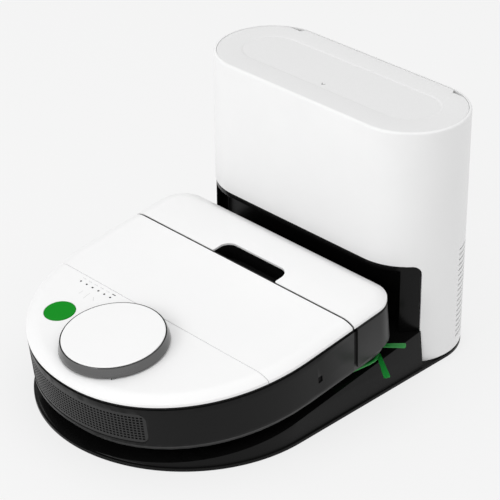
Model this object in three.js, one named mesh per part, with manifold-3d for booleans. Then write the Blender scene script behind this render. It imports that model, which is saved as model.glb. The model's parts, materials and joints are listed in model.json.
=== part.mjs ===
// A robot vacuum standing on its self-emptying dock. Millimetres, +Z up, +Y towards the wall
// behind the dock. The origin is on the floor under the middle of the dock's footprint.
import * as THREE from "three";
import { mergeVertices } from "three/addons/utils/BufferGeometryUtils.js";
import Module from "manifold-3d";

const wasm = await Module();
wasm.setup();

// ---- Driving dimensions: general ----
const gap = 0.3; // clearance between separate pieces
const reach = 600; // longer than the whole object, for cutting tools
const arcSteps = 6; // segments in a quarter of a large arc
const smallSteps = 3; // segments in a quarter of a small corner

// ---- Driving dimensions: dock ----
const dockLength = 467;
const towerWidth = 338.4;
const towerDepth = 133;
const towerHeight = 288.2;
const shellWall = 3.2;
const shellFoot = 6.2; // height of the shell's lower edge
const shellChamfer = 2.4;
const openingHeight = 128.5; // top of the shell's front opening
const openingSetback = 34.8; // the opening's side edges, in front of the tower's middle
const openingCorner = 11;
const trayRim = 3.4; // height of the flange round the ramp
const trayFloat = 0.8; // the feet lift the tray by this much
const trayWall = 3;
const bankRun = 7; // how far the ramp's sides lean in
const bankRise = 46;
const flangeRun = 2; // width of the flange outside the banks
const nicheHalfWidth = 143;
const nicheBack = 40; // niche's back wall, in front of the tower's middle
const nicheTop = 122;
const nicheWall = 4.6;
const nicheCorner = 9;
const ventCount = 18;
const ventPitch = 6.5;
const ventHeight = 2.6;
const ventLow = 20;
const ventAngle = 38; // degrees round the tower's end
const ventLength = 54;
const lidThickness = 3.4;
const lidAxisInset = 7.6; // lid's hinge axis, inside the tower's rear face
const lidAxisDrop = 2; // and below the lid's top
const lidPinRadius = 1;
const lidPinGrip = 2.5; // how far the hinge pins reach into the shell
const ductWall = 1.8;
const portWidth = 84; // suction port in the ramp
const portDepth = 30;
const footRadius = 16;
const trackRows = 6; // grip ribs under each drive wheel
const trackStart = -170;
const trackPitch = 16;
const trackHalf = 13;
const trackDepth = 0.8;
const floorThickness = 2;
const footInset = 45;
const footSeat = 0.6; // how deep a foot sits in the bottom plate
const sealHeight = 1.2;
const linerInset = 0.8;
const dishInset = 31; // shallow dish in the lid
const dishDepth = 0.6;
const lidRearReach = 3.7;
const lidSwing = 95; // degrees
const lidSwingSteps = 12;
const lidSwingGap = 0.15; // clearance while it swings
const ductX = -110;
const ductHalf = 18;
const ductFloor = 9;
const ductRoof = 29;
const riserY = 12; // the duct's riser, behind the tower's middle
const outletZ = 200;
const outletRadius = 11;
const spoutEnd = -89;
const shelfZ = 134;
const shelfThickness = 2.4;
const collarThickness = 2.4;
const collarHalf = 32;
const bagLength = 176;
const bagDepth = 84;
const bagHeight = 128;
const fanX = 88;
const fanY = 10;
const fanRadius = 40;
const inletX = -60;
const inletZ = 22;
const inletHalf = 10;

// ---- Driving dimensions: robot ----
const tilt = 6.75; // degrees, nose up on the ramp
const robotWidth = 340;
const noseReach = 136.9; // robot's middle to its flat nose
const noseCorner = 32;
const tailReach = 186.4; // robot's middle to its tail
const tailPower = 2.12; // exponent of the tail's superellipse
const tailSteps = 28;
const robotAhead = -44; // robot's middle along Y
const robotLift = 37.5; // robot's datum above the floor
const wheelPlane = -11.2; // the surface it stands on, below its datum
const bandFoot = 10.4; // lower edge of the side wall
const bandTop = 57.6;
const lipTop = 60.9;
const lipInset = 1.2;
const bandWall = 2.6;
const coverFoot = 61.3; // lower edge of the white covers
const coverTop = 69.7;
const coverWall = 2.4;
const shoulderRun = 16; // width of the covers' curved edge
const shoulderRadius = 27;
const lidSeam = 65.6; // seam between the bin's lid and the top cover
const lidSeamWidth = 2.4;
const rearSeamAhead = 5.8; // the rear seam passes this far ahead of the turret
const rearSeamWidth = 0.4;
const grooveWidth = 5.9; // bumper's gap at each side
const grooveLean = 5; // degrees
const bumperTravel = 4;
const bumperNoseFoot = 15; // lower edge of the bumper at the nose
const grilleHalfWidth = 93;
const grilleLow = 14;
const grilleHigh = 51;
const grilleCorner = 9;
const panTop = 14;
const panWall = 2.5;
const turretInset = 14.1; // turret's edge to the robot's tail
const turretRadius = 56.6;
const turretTop = 82.8;
const buttonGap = 17.1; // between the turret and the button
const buttonY = -114.3;
const buttonRadius = 17.3;
const ledCount = 6;
const ledFirstX = -114.6;
const ledPitch = 9.66;
const ledBehind = 10.7; // lights behind the rear seam
const ledRadius = 0.9;
const notchX = 5.6; // finger notch in the bin's lid
const notchWidth = 96;
const notchDepth = 23;
const notchCorner = 13;
const binLeftInset = 32; // inside the robot's sides
const binRightInset = 46;
const binFloor = 30;
const binWall = 2.2;
const brushY = 100;
const brushZ = 8;
const brushLeftInset = 40; // inside the robot's left side
const brushSideGap = 84.8; // brush's end to the side brush's middle
const brushRadius = 17;
const sideBrushInset = 22.2; // inside the robot's right side
const sideBrushY = 97;
const sideBrushReach = 49.5;
const tuftCount = 5;
const tuftRoot = 16.7;
const wheelY = -12;
const wheelRadius = 31;
const wheelWidth = 20;
const wheelInset = 42; // wheel's outer face inside the robot's side
const pivotY = 34;
const pivotZ = 30;
const casterY = -140;
const casterRadius = 9.5;
const casterTrail = 5;
const rotorRadius = 30;
const windowY = 12.4; // side sensor's window
const windowZ = 28.7;
const contactX = 40;
const contactY = 66;
const contactSize = 8;
const padFace = -6.2; // lower face of the charging pads
const pinRadius = 2.5;
const armGap = 5; // between a wheel and its arm
const armThickness = 6;
const motorReach = 34; // gear motor, inwards from its arm
const batteryGap = 11; // between the battery and the gear motors
const boardInset = 24; // main board inside the wheels
const filterGap = 8.2; // bin's filter to the notch's wall and to the bin's side
const tyreThickness = 5;
const casterBay = 18;
const boardTop = 50;
const brushVanes = 6;
const tuftLow = -3;
const tuftThickness = 2;
const tuftPhase = 55.6; // degrees
const sideMotorFloor = 5;

// ---- Derived places ----
const towerY = dockLength / 2 - towerDepth / 2;
const tailY = -dockLength / 2 + towerWidth / 2; // middle of the tray's round end
const axleZ = wheelPlane + wheelRadius + gap;
const wheelInner = robotWidth / 2 - wheelInset - wheelWidth;
const armInner = wheelInner - armGap - armThickness;
const turretY = turretInset + turretRadius - tailReach;
const rearSeam = turretY + turretRadius + rearSeamAhead;
const buttonX = -(turretRadius + buttonGap + buttonRadius);
const ledY = rearSeam - ledBehind;
const binLeft = binLeftInset - robotWidth / 2;
const binRight = robotWidth / 2 - binRightInset;
const sideBrushX = robotWidth / 2 - sideBrushInset;
const batteryHalf = armInner - motorReach - batteryGap;
const boardHalf = wheelInner - boardInset;
const filterLeft = notchX + notchWidth / 2 + binWall + filterGap;
const brushLeft = brushLeftInset - robotWidth / 2;
const brushRight = sideBrushX - brushSideGap;
const wedgeEnd = towerY - openingSetback - gap;
const contactTop = padFace - gap;
const portX = (brushLeft + brushRight) / 2;
const portY = robotAhead + brushY * Math.cos(THREE.MathUtils.degToRad(tilt));
const lidAxisY = towerDepth / 2 - lidAxisInset;
const lidAxisZ = towerHeight - gap - lidAxisDrop;
const pose = new THREE.Matrix4()
  .makeTranslation(0, robotAhead, robotLift)
  .multiply(new THREE.Matrix4().makeRotationX(THREE.MathUtils.degToRad(tilt)));

// ---- Materials ----
const finish = (color, roughness, metalness = 0) =>
  new THREE.MeshStandardMaterial({ color, roughness, metalness });
const white = finish(0xf2f2f2, 0.35);
const lidGrey = finish(0xe6e6e6, 0.45);
const black = finish(0x0c0c0d, 0.25);
const charcoal = finish(0x2c2c2d, 0.45);
const chrome = finish(0x8a8c8e, 0.2, 1);
const green = finish(0x1c8e36, 0.5);
const rubber = finish(0x151515, 0.85);
const steel = finish(0xb8babc, 0.3, 1);
const brassy = finish(0xc8a45a, 0.3, 1);
const paper = finish(0xe9e4d8, 0.9);
const filterBlue = finish(0x6f8fa8, 0.9);
const boardGreen = finish(0x1f5a3a, 0.6);
const smoke = finish(0x101418, 0.08);

// ---- Solids ----
// A closed three.js geometry as a solid.
function solid(geometry) {
  const loose = geometry.index ? geometry.toNonIndexed() : geometry;
  const bare = new THREE.BufferGeometry();
  bare.setAttribute("position", loose.getAttribute("position"));
  const merged = mergeVertices(bare, 1e-3);
  return new wasm.Manifold(
    new wasm.Mesh({
      numProp: 3,
      vertProperties: merged.attributes.position.array,
      triVerts: new Uint32Array(merged.index.array),
    }),
  );
}

function box(x0, x1, y0, y1, z0, z1) {
  const g = new THREE.BoxGeometry(x1 - x0, y1 - y0, z1 - z0);
  return solid(g.translate((x0 + x1) / 2, (y0 + y1) / 2, (z0 + z1) / 2));
}

// An upright cylinder round (x, y).
function post(x, y, radius, z0, z1, steps = 20) {
  const g = new THREE.CylinderGeometry(radius, radius, z1 - z0, steps);
  return solid(g.rotateX(Math.PI / 2).translate(x, y, (z0 + z1) / 2));
}

// A cylinder along X round (y, z).
function rod(x0, x1, y, z, radius, steps = 20) {
  const g = new THREE.CylinderGeometry(radius, radius, x1 - x0, steps);
  return solid(g.rotateZ(Math.PI / 2).translate((x0 + x1) / 2, y, z));
}

// A flat plate of the shape's outline.
function plate(shape, z0, z1) {
  const settings = { depth: z1 - z0, bevelEnabled: false };
  return solid(new THREE.ExtrudeGeometry(shape, settings).translate(0, 0, z0));
}

// A plate whose upper edge falls by drop over the last run of its width.
function easedPlate(shape, z0, z1, drop, run, segments) {
  const depth = z1 - drop - z0 + 1;
  const settings = {
    depth,
    bevelThickness: drop,
    bevelSize: run,
    bevelOffset: -run,
    bevelSegments: segments,
  };
  const g = new THREE.ExtrudeGeometry(shape, settings).translate(0, 0, z0 - 1);
  return solid(g).intersect(box(-reach, reach, -reach, reach, z0, z1 + 1));
}

// A plate whose lower edge rises by drop over the last run of its width.
function keelPlate(shape, z0, z1, drop, run, segments) {
  const depth = z1 - z0 - drop + 1;
  const settings = {
    depth,
    bevelThickness: drop,
    bevelSize: run,
    bevelOffset: -run,
    bevelSegments: segments,
  };
  const g = new THREE.ExtrudeGeometry(shape, settings).translate(0, 0, z0 + drop);
  return solid(g).intersect(box(-reach, reach, -reach, reach, z0 - 1, z1));
}

// A plate with both edges rounded.
function pillow(shape, z0, z1, drop, run) {
  const settings = {
    depth: z1 - z0 - 2 * drop,
    bevelThickness: drop,
    bevelSize: run,
    bevelOffset: -run,
    bevelSegments: 3,
  };
  return solid(new THREE.ExtrudeGeometry(shape, settings).translate(0, 0, z0 + drop));
}

// A bar with the shape's outline in the YZ plane, from x0 to x1.
function barX(shape, x0, x1) {
  const settings = { depth: x1 - x0, bevelEnabled: false };
  const g = new THREE.ExtrudeGeometry(shape, settings);
  const toX = new THREE.Matrix4().makeBasis(
    new THREE.Vector3(0, 1, 0),
    new THREE.Vector3(0, 0, 1),
    new THREE.Vector3(1, 0, 0),
  );
  return solid(g.applyMatrix4(toX).translate(x0, 0, 0));
}

function moved(s, matrix) {
  const m = s.getMesh();
  return solid(geometryOf(m).applyMatrix4(matrix));
}

function geometryOf(m) {
  const position = new Float32Array(m.numVert * 3);
  for (let i = 0; i < m.numVert; i++)
    position.set(m.vertProperties.subarray(i * m.numProp, i * m.numProp + 3), i * 3);
  const g = new THREE.BufferGeometry();
  g.setAttribute("position", new THREE.BufferAttribute(position, 3));
  g.setIndex(new THREE.BufferAttribute(new Uint32Array(m.triVerts), 1));
  return g;
}

// ---- Groups ----
const machine = new THREE.Group();
const dock = new THREE.Group();
const tower = new THREE.Group();
const robot = new THREE.Group();
tower.position.set(0, towerY, 0);
robot.applyMatrix4(pose);
machine.add(dock, robot);
dock.add(tower);

function piece(group, name, s, material) {
  const g = geometryOf(s.getMesh());
  g.computeVertexNormals();
  const mesh = new THREE.Mesh(g, material);
  mesh.name = name;
  group.add(mesh);
}

// ---- Outlines ----
// Points round an arc; the angles are in degrees.
function arc(x, y, radius, from, to, steps) {
  return Array.from({ length: steps + 1 }, (_, i) => {
    const a = THREE.MathUtils.degToRad(from + ((to - from) * i) / steps);
    return new THREE.Vector2(x + radius * Math.cos(a), y + radius * Math.sin(a));
  });
}

// A rounded rectangle centred on (x, y).
function roundedBox(width, height, corner, x = 0, y = 0, steps = smallSteps) {
  const [w, h] = [width / 2 - corner, height / 2 - corner];
  return new THREE.Shape([
    ...arc(x + w, y + h, corner, 0, 90, steps),
    ...arc(x - w, y + h, corner, 90, 180, steps),
    ...arc(x - w, y - h, corner, 180, 270, steps),
    ...arc(x + w, y - h, corner, 270, 360, steps),
  ]);
}

// The tower's plan: two half circles joined by straights.
function towerPlan(inset = 0) {
  const centre = (towerWidth - towerDepth) / 2;
  const r = towerDepth / 2 - inset;
  return new THREE.Shape([
    ...arc(centre, 0, r, -90, 90, 2 * arcSteps),
    ...arc(-centre, 0, r, 90, 270, 2 * arcSteps),
  ]);
}

// The dock's plan: the tower's back, straight sides and a round end.
function trayPlan(inset = 0) {
  const half = towerWidth / 2 - inset;
  const r = towerDepth / 2 - inset;
  return new THREE.Shape([
    ...arc(half - r, towerY, r, 0, 90, arcSteps),
    ...arc(r - half, towerY, r, 90, 180, arcSteps),
    ...arc(0, tailY, half, 180, 360, 4 * arcSteps),
  ]);
}

// The robot's plan: flat nose, straight sides and a superellipse for a tail.
function robotPlan(inset = 0, noseInset = inset) {
  const half = robotWidth / 2 - inset;
  const nose = noseReach - noseInset;
  const tail = tailReach - inset;
  const c = noseCorner - inset;
  const tailPoints = Array.from({ length: tailSteps + 1 }, (_, i) => {
    const a = Math.PI * (1 + i / tailSteps);
    const x = half * Math.sign(Math.cos(a)) * Math.abs(Math.cos(a)) ** (2 / tailPower);
    const y = -tail * Math.abs(Math.sin(a)) ** (2 / tailPower);
    return new THREE.Vector2(x, y);
  });
  return new THREE.Shape([
    ...arc(half - c, nose - c, c, 0, 90, arcSteps),
    ...arc(c - half, nose - c, c, 90, 180, arcSteps),
    ...tailPoints,
  ]);
}

// ---- Dock: ramp tray ----
const shift = (x, y, z) => new THREE.Matrix4().makeTranslation(x, y, z);

// A box set square to the robot standing on the ramp.
function rampBox(x0, x1, y0, y1, z0, z1) {
  return moved(box(x0, x1, y0, y1, z0, z1), pose);
}

// Everything above the surface that the robot stands on, raised by lift.
const aboveRamp = (lift) => rampBox(-reach, reach, -reach, reach, wheelPlane + lift, reach);

// The ramp's wedge, or with an inset the hollow inside it.
function wedge(inset) {
  const foot = trayFloat - (inset ? 1 : 0);
  const rise = bankRise + trayRim;
  return easedPlate(trayPlan(flangeRun + inset), foot, foot + rise, rise, bankRun, 1)
    .subtract(aboveRamp(-inset))
    .subtract(box(-reach, reach, wedgeEnd - inset, reach, shellFoot - gap - inset, reach));
}

function rampTray() {
  let tray = wedge(0)
    .add(plate(trayPlan(), trayFloat, trayFloat + trayRim))
    .subtract(wedge(trayWall))
    .subtract(plate(trayPlan(trayWall), 0, trayFloat + floorThickness + gap));
  tray = tray.subtract(portTool(0, wheelPlane - 12, wheelPlane + 2));
  for (const side of [-1, 1]) {
    const trackX = side * (wheelInner + wheelWidth / 2);
    for (let row = 0; row < trackRows; row++) {
      const y = trackStart + row * trackPitch;
      tray = tray.subtract(
        rampBox(trackX - trackHalf, trackX + trackHalf, y, y + trackPitch / 2,
          wheelPlane - trackDepth, wheelPlane + 2));
    }
    tray = tray
      .add(contactBox(side, contactSize / 2 + 4, wheelPlane - trayWall + 1, contactTop - 1.2))
      .subtract(contactBox(side, contactSize / 2 + gap, wheelPlane - 14, wheelPlane + 14));
  }
  const rib = plate(towerPlan(shellWall + gap), shellFoot - gap - 1, shellFoot + 5)
    .subtract(plate(towerPlan(shellWall + gap + 2), 0, shellFoot + 8))
    .subtract(box(-reach, reach, -reach, 3 - openingSetback, 0, reach));
  const ductWay = box(
    ductX - ductHalf - gap, ductX + ductHalf + gap, wedgeEnd - 8, wedgeEnd + 2,
    ductFloor - gap, ductRoof + gap);
  const inletWay = box(inletX - inletHalf - 2, inletX + inletHalf + 2, towerY + 50, towerY + 64,
    shellFoot, shellFoot + 8);
  return tray.add(moved(rib, shift(0, towerY, 0)).subtract(inletWay)).subtract(ductWay);
}

function portTool(clear, z0, z1) {
  const [x, y] = [portWidth / 2 - clear, portDepth / 2 - clear];
  return rampBox(portX - x, portX + x, brushY - y, brushY + y, z0, z1);
}

function contactBox(side, half, z0, z1) {
  const x = side * contactX;
  return rampBox(x - half, x + half, contactY - half, contactY + half, z0, z1);
}

const footPlaces = [
  ["foot_back_left", -1, 1],
  ["foot_back_right", 1, 1],
  ["foot_ramp_left", -1, -0.5],
  ["foot_ramp_right", 1, -0.5],
  ["foot_middle", 0, 0],
].map(([name, x, y]) => [name, x * (towerWidth / 2 - footInset), y * (dockLength / 2 - footInset)]);

function bottomPlate() {
  const sheet = plate(trayPlan(trayWall + gap), trayFloat, trayFloat + floorThickness);
  return footPlaces.reduce(
    (rest, [, x, y]) => rest.subtract(post(x, y, footRadius + gap, 0, trayFloat + footSeat)),
    sheet);
}

piece(dock, "ramp_tray", rampTray(), black);
piece(dock, "bottom_plate", bottomPlate(), charcoal);
for (const [name, x, y] of footPlaces)
  piece(dock, name, post(x, y, footRadius, 0, trayFloat + footSeat - gap), rubber);
for (const side of [-1, 1])
  piece(dock, side < 0 ? "dock_contact_left" : "dock_contact_right",
    contactBox(side, contactSize / 2, wheelPlane - trayWall - 2, contactTop), brassy);
piece(dock, "port_seal",
  portTool(gap, wheelPlane - 0.7, wheelPlane + sealHeight)
    .subtract(portTool(gap + 4, wheelPlane - 2, wheelPlane + 4)), rubber);

// ---- Dock: suction duct, from the port in the ramp to the bag ----
function ductBody(shrink) {
  const [z0, z1] = [ductFloor + shrink, ductRoof - shrink];
  const [x0, x1] = [ductX - ductHalf + shrink, portX + portWidth / 2 - shrink];
  const [y0, y1] = [portY - portDepth / 2 - 6 + shrink, portY + portDepth / 2 + 8 - shrink];
  return box(x0, x1, y0, y1, z0, z1)
    .add(box(x0, ductX + ductHalf - shrink, y0, towerY + riserY, z0, z1))
    .add(post(ductX, towerY + riserY, ductHalf - shrink, z0, outletZ + 20 - shrink));
}

function suctionDuct() {
  const collar = portTool(gap, wheelPlane - 22, wheelPlane - 1);
  const throat = portTool(gap + ductWall, wheelPlane - 24, wheelPlane + 2);
  const spout = rod(ductX, spoutEnd, towerY + riserY, outletZ, outletRadius + ductWall);
  const mouth = rod(ductX, spoutEnd + 5, towerY + riserY, outletZ, outletRadius);
  return ductBody(0)
    .add(collar)
    .add(spout)
    .subtract(ductBody(ductWall))
    .subtract(throat)
    .subtract(mouth);
}

piece(dock, "suction_duct", suctionDuct(), charcoal);

// ---- Dock: tower ----
// The shell's front opening, made smaller by clear.
function openingTool(clear) {
  const [edge, top, c] = [-openingSetback - clear, openingHeight - clear, openingCorner - clear];
  const shape = new THREE.Shape([
    new THREE.Vector2(-reach, -reach),
    new THREE.Vector2(edge, -reach),
    ...arc(edge - c, top - c, c, 0, 90, smallSteps + 2),
    new THREE.Vector2(-reach, top),
  ]);
  return barX(shape, -reach, reach);
}

function ventTool(side, row) {
  const g = new THREE.BoxGeometry(20, ventLength, ventHeight);
  g.translate(towerDepth / 2, 0, ventLow + row * ventPitch);
  g.rotateZ(THREE.MathUtils.degToRad(side > 0 ? ventAngle : 180 - ventAngle));
  return solid(g.translate((side * (towerWidth - towerDepth)) / 2, 0, 0));
}

function towerShell() {
  const ledgeTop = towerHeight - lidThickness - 2 * gap;
  const ledge = plate(towerPlan(shellWall - 0.5), ledgeTop - 2.4, ledgeTop)
    .subtract(plate(towerPlan(shellWall + 3), 0, reach))
    .subtract(box(-reach, reach, lidAxisY - 14, reach, 0, reach));
  let shell = easedPlate(towerPlan(), shellFoot, towerHeight, shellChamfer, shellChamfer, 2)
    .subtract(plate(towerPlan(shellWall), 0, towerHeight + 1))
    .subtract(openingTool(0))
    .add(ledge);
  for (let row = 0; row < ventCount; row++)
    for (const side of [-1, 1]) shell = shell.subtract(ventTool(side, row));
  for (const side of [-1, 1])
    shell = shell.subtract(onLidAxis(side, 6, -lidPinGrip - gap, lidPinRadius + gap, 12));
  return shell.subtract(inletTool(gap, towerDepth / 2 - 9, towerDepth / 2 + 1));
}

function inletTool(clear, y0, y1) {
  const half = inletHalf + clear;
  return box(inletX - half, inletX + half, y0, y1, inletZ - 7 - clear, inletZ + 7 + clear);
}

function bayLiner() {
  const front = plate(towerPlan(linerInset), 0, openingHeight).intersect(openingTool(gap));
  const niche = plate(
    roundedBox(2 * nicheHalfWidth, towerDepth - 2 * nicheBack, nicheCorner, 0, -towerDepth / 2),
    -1, nicheTop);
  const rear = box(-reach, reach, nicheWall - nicheBack, reach, -1, reach);
  return front.subtract(niche).subtract(rear).intersect(moved(aboveRamp(gap), shift(0, -towerY, 0)));
}

// Where the lid's edge meets its hinge axis.
const lidAxisX = (towerWidth - towerDepth) / 2
  + Math.sqrt((towerDepth / 2 - shellWall - gap) ** 2 - lidAxisY ** 2);

// A cylinder on the lid's axis between two distances inside the lid's edge.
function onLidAxis(side, from, to, radius, steps) {
  const ends = [side * (lidAxisX - from), side * (lidAxisX - to)].sort((a, b) => a - b);
  return rod(ends[0], ends[1], lidAxisY, lidAxisZ, radius, steps);
}

function bagLid() {
  const top = towerHeight - gap;
  const lidOutline = plate(towerPlan(shellWall + gap), 0, reach);
  let lid = plate(towerPlan(shellWall + gap), top - lidThickness, top)
    .subtract(plate(
      roundedBox(towerWidth - 2 * dishInset, towerDepth - 2 * dishInset, towerDepth / 2 - dishInset - 0.1,
        0, 0, arcSteps),
      top - dishDepth, top + 1))
    .subtract(box(-reach, reach, lidAxisY + lidRearReach, reach, 0, reach));
  for (const side of [-1, 1]) {
    const ends = [side * (lidAxisX - 1.2), side * (lidAxisX - 18)].sort((a, b) => a - b);
    const boss = box(ends[0], ends[1], lidAxisY - 4, lidAxisY + 2.6, top - lidThickness - 1.6, top - 1);
    lid = lid.add(boss.intersect(lidOutline)).subtract(onLidAxis(side, 15, -9, lidPinRadius + gap, 16));
  }
  for (let step = 1; step <= lidSwingSteps; step++)
    lid = lid.subtract(wallSeenFromLid((lidSwing * step) / lidSwingSteps));
  return lid;
}

// The shell's wall as it stands to the lid opened by some degrees.
function wallSeenFromLid(degrees) {
  const wall = plate(towerPlan(), lidAxisZ - 3 * lidThickness, towerHeight + lidSwingGap)
    .subtract(plate(towerPlan(shellWall + lidSwingGap), 0, reach));
  const turn = new THREE.Matrix4().makeRotationX(THREE.MathUtils.degToRad(degrees));
  return moved(wall, shift(0, lidAxisY, lidAxisZ).multiply(turn).multiply(shift(0, -lidAxisY, -lidAxisZ)));
}

piece(tower, "tower_shell", towerShell(), white);
piece(tower, "bay_liner", bayLiner(), black);
piece(tower, "bag_lid", bagLid(), lidGrey);
for (const side of [-1, 1])
  piece(tower, side < 0 ? "lid_pin_left" : "lid_pin_right",
    onLidAxis(side, 14.4, -lidPinGrip, lidPinRadius, 12), steel);

// ---- Dock: bag bay ----
// The shelf carries the fan's intake and the upright channel that the bag's collar slides into.
const collarX = spoutEnd + gap;

function bagShelf() {
  const top = shelfZ + shelfThickness;
  const channel = box(spoutEnd - 3, collarX + collarThickness + 2.4,
    riserY - collarHalf - 3, riserY + collarHalf + 3, shelfZ + 1, outletZ + collarHalf);
  const slot = box(collarX - gap, collarX + collarThickness + gap,
    riserY - collarHalf - gap, riserY + collarHalf + gap, outletZ - collarHalf - gap, reach);
  const window = box(collarX, reach, riserY - collarHalf + 6, riserY + collarHalf - 6, top + 8, reach);
  return plate(towerPlan(shellWall + gap), shelfZ, top)
    .add(channel)
    .subtract(slot)
    .subtract(window)
    .subtract(post(ductX, riserY, ductHalf + gap, 0, reach))
    .subtract(rod(ductX, spoutEnd + 2, riserY, outletZ, outletRadius + ductWall + gap))
    .subtract(post(fanX, fanY, fanRadius - 14, 0, reach));
}

piece(tower, "bag_shelf", bagShelf(), charcoal);
piece(tower, "bag_collar",
  box(collarX, collarX + collarThickness, riserY - collarHalf, riserY + collarHalf,
    outletZ - collarHalf, outletZ + collarHalf + 6)
    .subtract(rod(collarX - 1, collarX + 9, riserY, outletZ, outletRadius)), paper);
piece(tower, "dust_bag", pillow(
  roundedBox(bagLength, bagDepth, 24, collarX + collarThickness + 3 + bagLength / 2, bagDepth / 16),
  shelfZ + shelfThickness + 3, shelfZ + shelfThickness + 3 + bagHeight, 14, 12), paper);

// ---- Dock: fan, filter, electrics ----
function fanCup(x, y, radius, z0, z1, wall) {
  return post(x, y, radius, z0, z1).subtract(post(x, y, radius - wall, z0 + wall, z1 + 1));
}

function impeller(x, y, radius, z0, z1, bore, blades) {
  let wheel = post(x, y, radius, z0, z0 + 2).add(post(x, y, bore + 3, z0, z1, 16));
  for (let i = 0; i < blades; i++) {
    const g = new THREE.BoxGeometry(radius - bore - 1, 1.6, z1 - z0 - 1);
    g.translate((radius + bore) / 2, 0, (z0 + z1) / 2 + 0.5);
    wheel = wheel.add(solid(g.rotateZ((2 * Math.PI * i) / blades).translate(x, y, 0)));
  }
  return wheel.subtract(post(x, y, bore, z0 - 1, z1 + 1, 16));
}

const cupFloor = shellFoot + 2;
const cupTop = shelfZ - 6;
const motorTop = cupFloor + 64;
const shaftRadius = 3;

piece(tower, "dock_fan_housing",
  fanCup(fanX, fanY, fanRadius, cupFloor, cupTop, 2.5)
    .subtract(box(fanX, fanX + fanRadius + 1, fanY - 16, fanY + 16, cupTop - 60, cupTop - 14)),
  charcoal);
piece(tower, "dock_motor",
  post(fanX, fanY, fanRadius - 14, cupFloor + 2.5 + gap, motorTop)
    .add(post(fanX, fanY, shaftRadius, motorTop - 1, motorTop + 30, 16)), steel);
piece(tower, "dock_impeller",
  impeller(fanX, fanY, fanRadius - 5, motorTop + 6, motorTop + 26, shaftRadius + gap, 9), black);
piece(tower, "exhaust_filter",
  box(fanX + fanRadius + 6, fanX + fanRadius + 12, -14, 38, shellFoot + 8, shelfZ - 8), filterBlue);
piece(tower, "power_inlet",
  inletTool(0, towerDepth / 2 - 10, towerDepth / 2 - 0.3)
    .subtract(box(inletX - 7, inletX + 7, towerDepth / 2 - 8, towerDepth / 2, inletZ - 4, inletZ + 4))
    .add(rod(inletX - 9, inletX - 8, towerDepth / 2 - 9, inletZ, 0.5, 6)), black);

// ---- Robot: lower housing ----
const bandShape = (z0, z1, inset) => plate(robotPlan(inset), z0, z1);
const grooveY = lidSeam + 1.2;
const grooveZ = (bandFoot + bandTop) / 2;

// A cutting block between two distances from the bumper's groove, leaning with it.
function leaningBox(y0, y1) {
  const g = new THREE.BoxGeometry(2 * reach, y1 - y0, 2 * reach).translate(0, (y0 + y1) / 2, 0);
  g.rotateX(THREE.MathUtils.degToRad(-grooveLean));
  return solid(g.translate(0, grooveY, grooveZ));
}

function bandRing() {
  return bandShape(bandFoot, bandTop, 0)
    .add(bandShape(bandTop - 1, lipTop, lipInset))
    .subtract(bandShape(0, reach, bandWall));
}

// A window through the tail, made smaller by clear.
function grilleTool(clear) {
  const shape = roundedBox(2 * (grilleHalfWidth - clear), grilleHigh - grilleLow - 2 * clear,
    grilleCorner - clear, 0, (grilleLow + grilleHigh) / 2);
  const block = plate(shape, tailReach / 3, 2 * tailReach);
  return moved(block, new THREE.Matrix4().makeRotationX(Math.PI / 2));
}

const sideWindow = (clear, x0, x1) =>
  box(x0, x1, windowY - 2.7 - clear, windowY + 2.7 + clear, windowZ - 3.6 - clear, windowZ + 3.6 + clear);

function sideBand() {
  const tongue = plate(robotPlan(bandWall + gap), panTop + 1, bandTop - 3.4)
    .subtract(bandShape(0, reach, bandWall + 2))
    .intersect(box(-reach, reach, grooveY - 20, grooveY + 16, 0, reach));
  const root = plate(robotPlan(bandWall - 0.5), panTop + 1, bandTop - 3.4)
    .subtract(bandShape(0, reach, bandWall + 2))
    .intersect(box(-reach, reach, grooveY - 20, grooveY - 8, 0, reach));
  return bandRing()
    .subtract(leaningBox(-grooveWidth / 2, reach))
    .subtract(grilleTool(0))
    .subtract(sideWindow(gap, robotWidth / 2 - 9, robotWidth / 2 + 9))
    .add(tongue)
    .add(root);
}

function bumper() {
  const run = noseReach - grooveY;
  const g = new THREE.BoxGeometry(2 * reach, 2 * reach, reach).translate(0, 0, -reach / 2);
  g.rotateX(Math.atan2(bumperNoseFoot - bandFoot, run)).translate(0, grooveY, bandFoot);
  return bandRing().subtract(leaningBox(-reach, grooveWidth / 2)).subtract(solid(g));
}

const wheelHole = (side) => {
  const xs = [side * (wheelInner - 4), side * (wheelInner + wheelWidth + 4)].sort((a, b) => a - b);
  return box(xs[0], xs[1], wheelY - wheelRadius - 5, wheelY + wheelRadius + 7, -1, panTop - 2);
};

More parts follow.
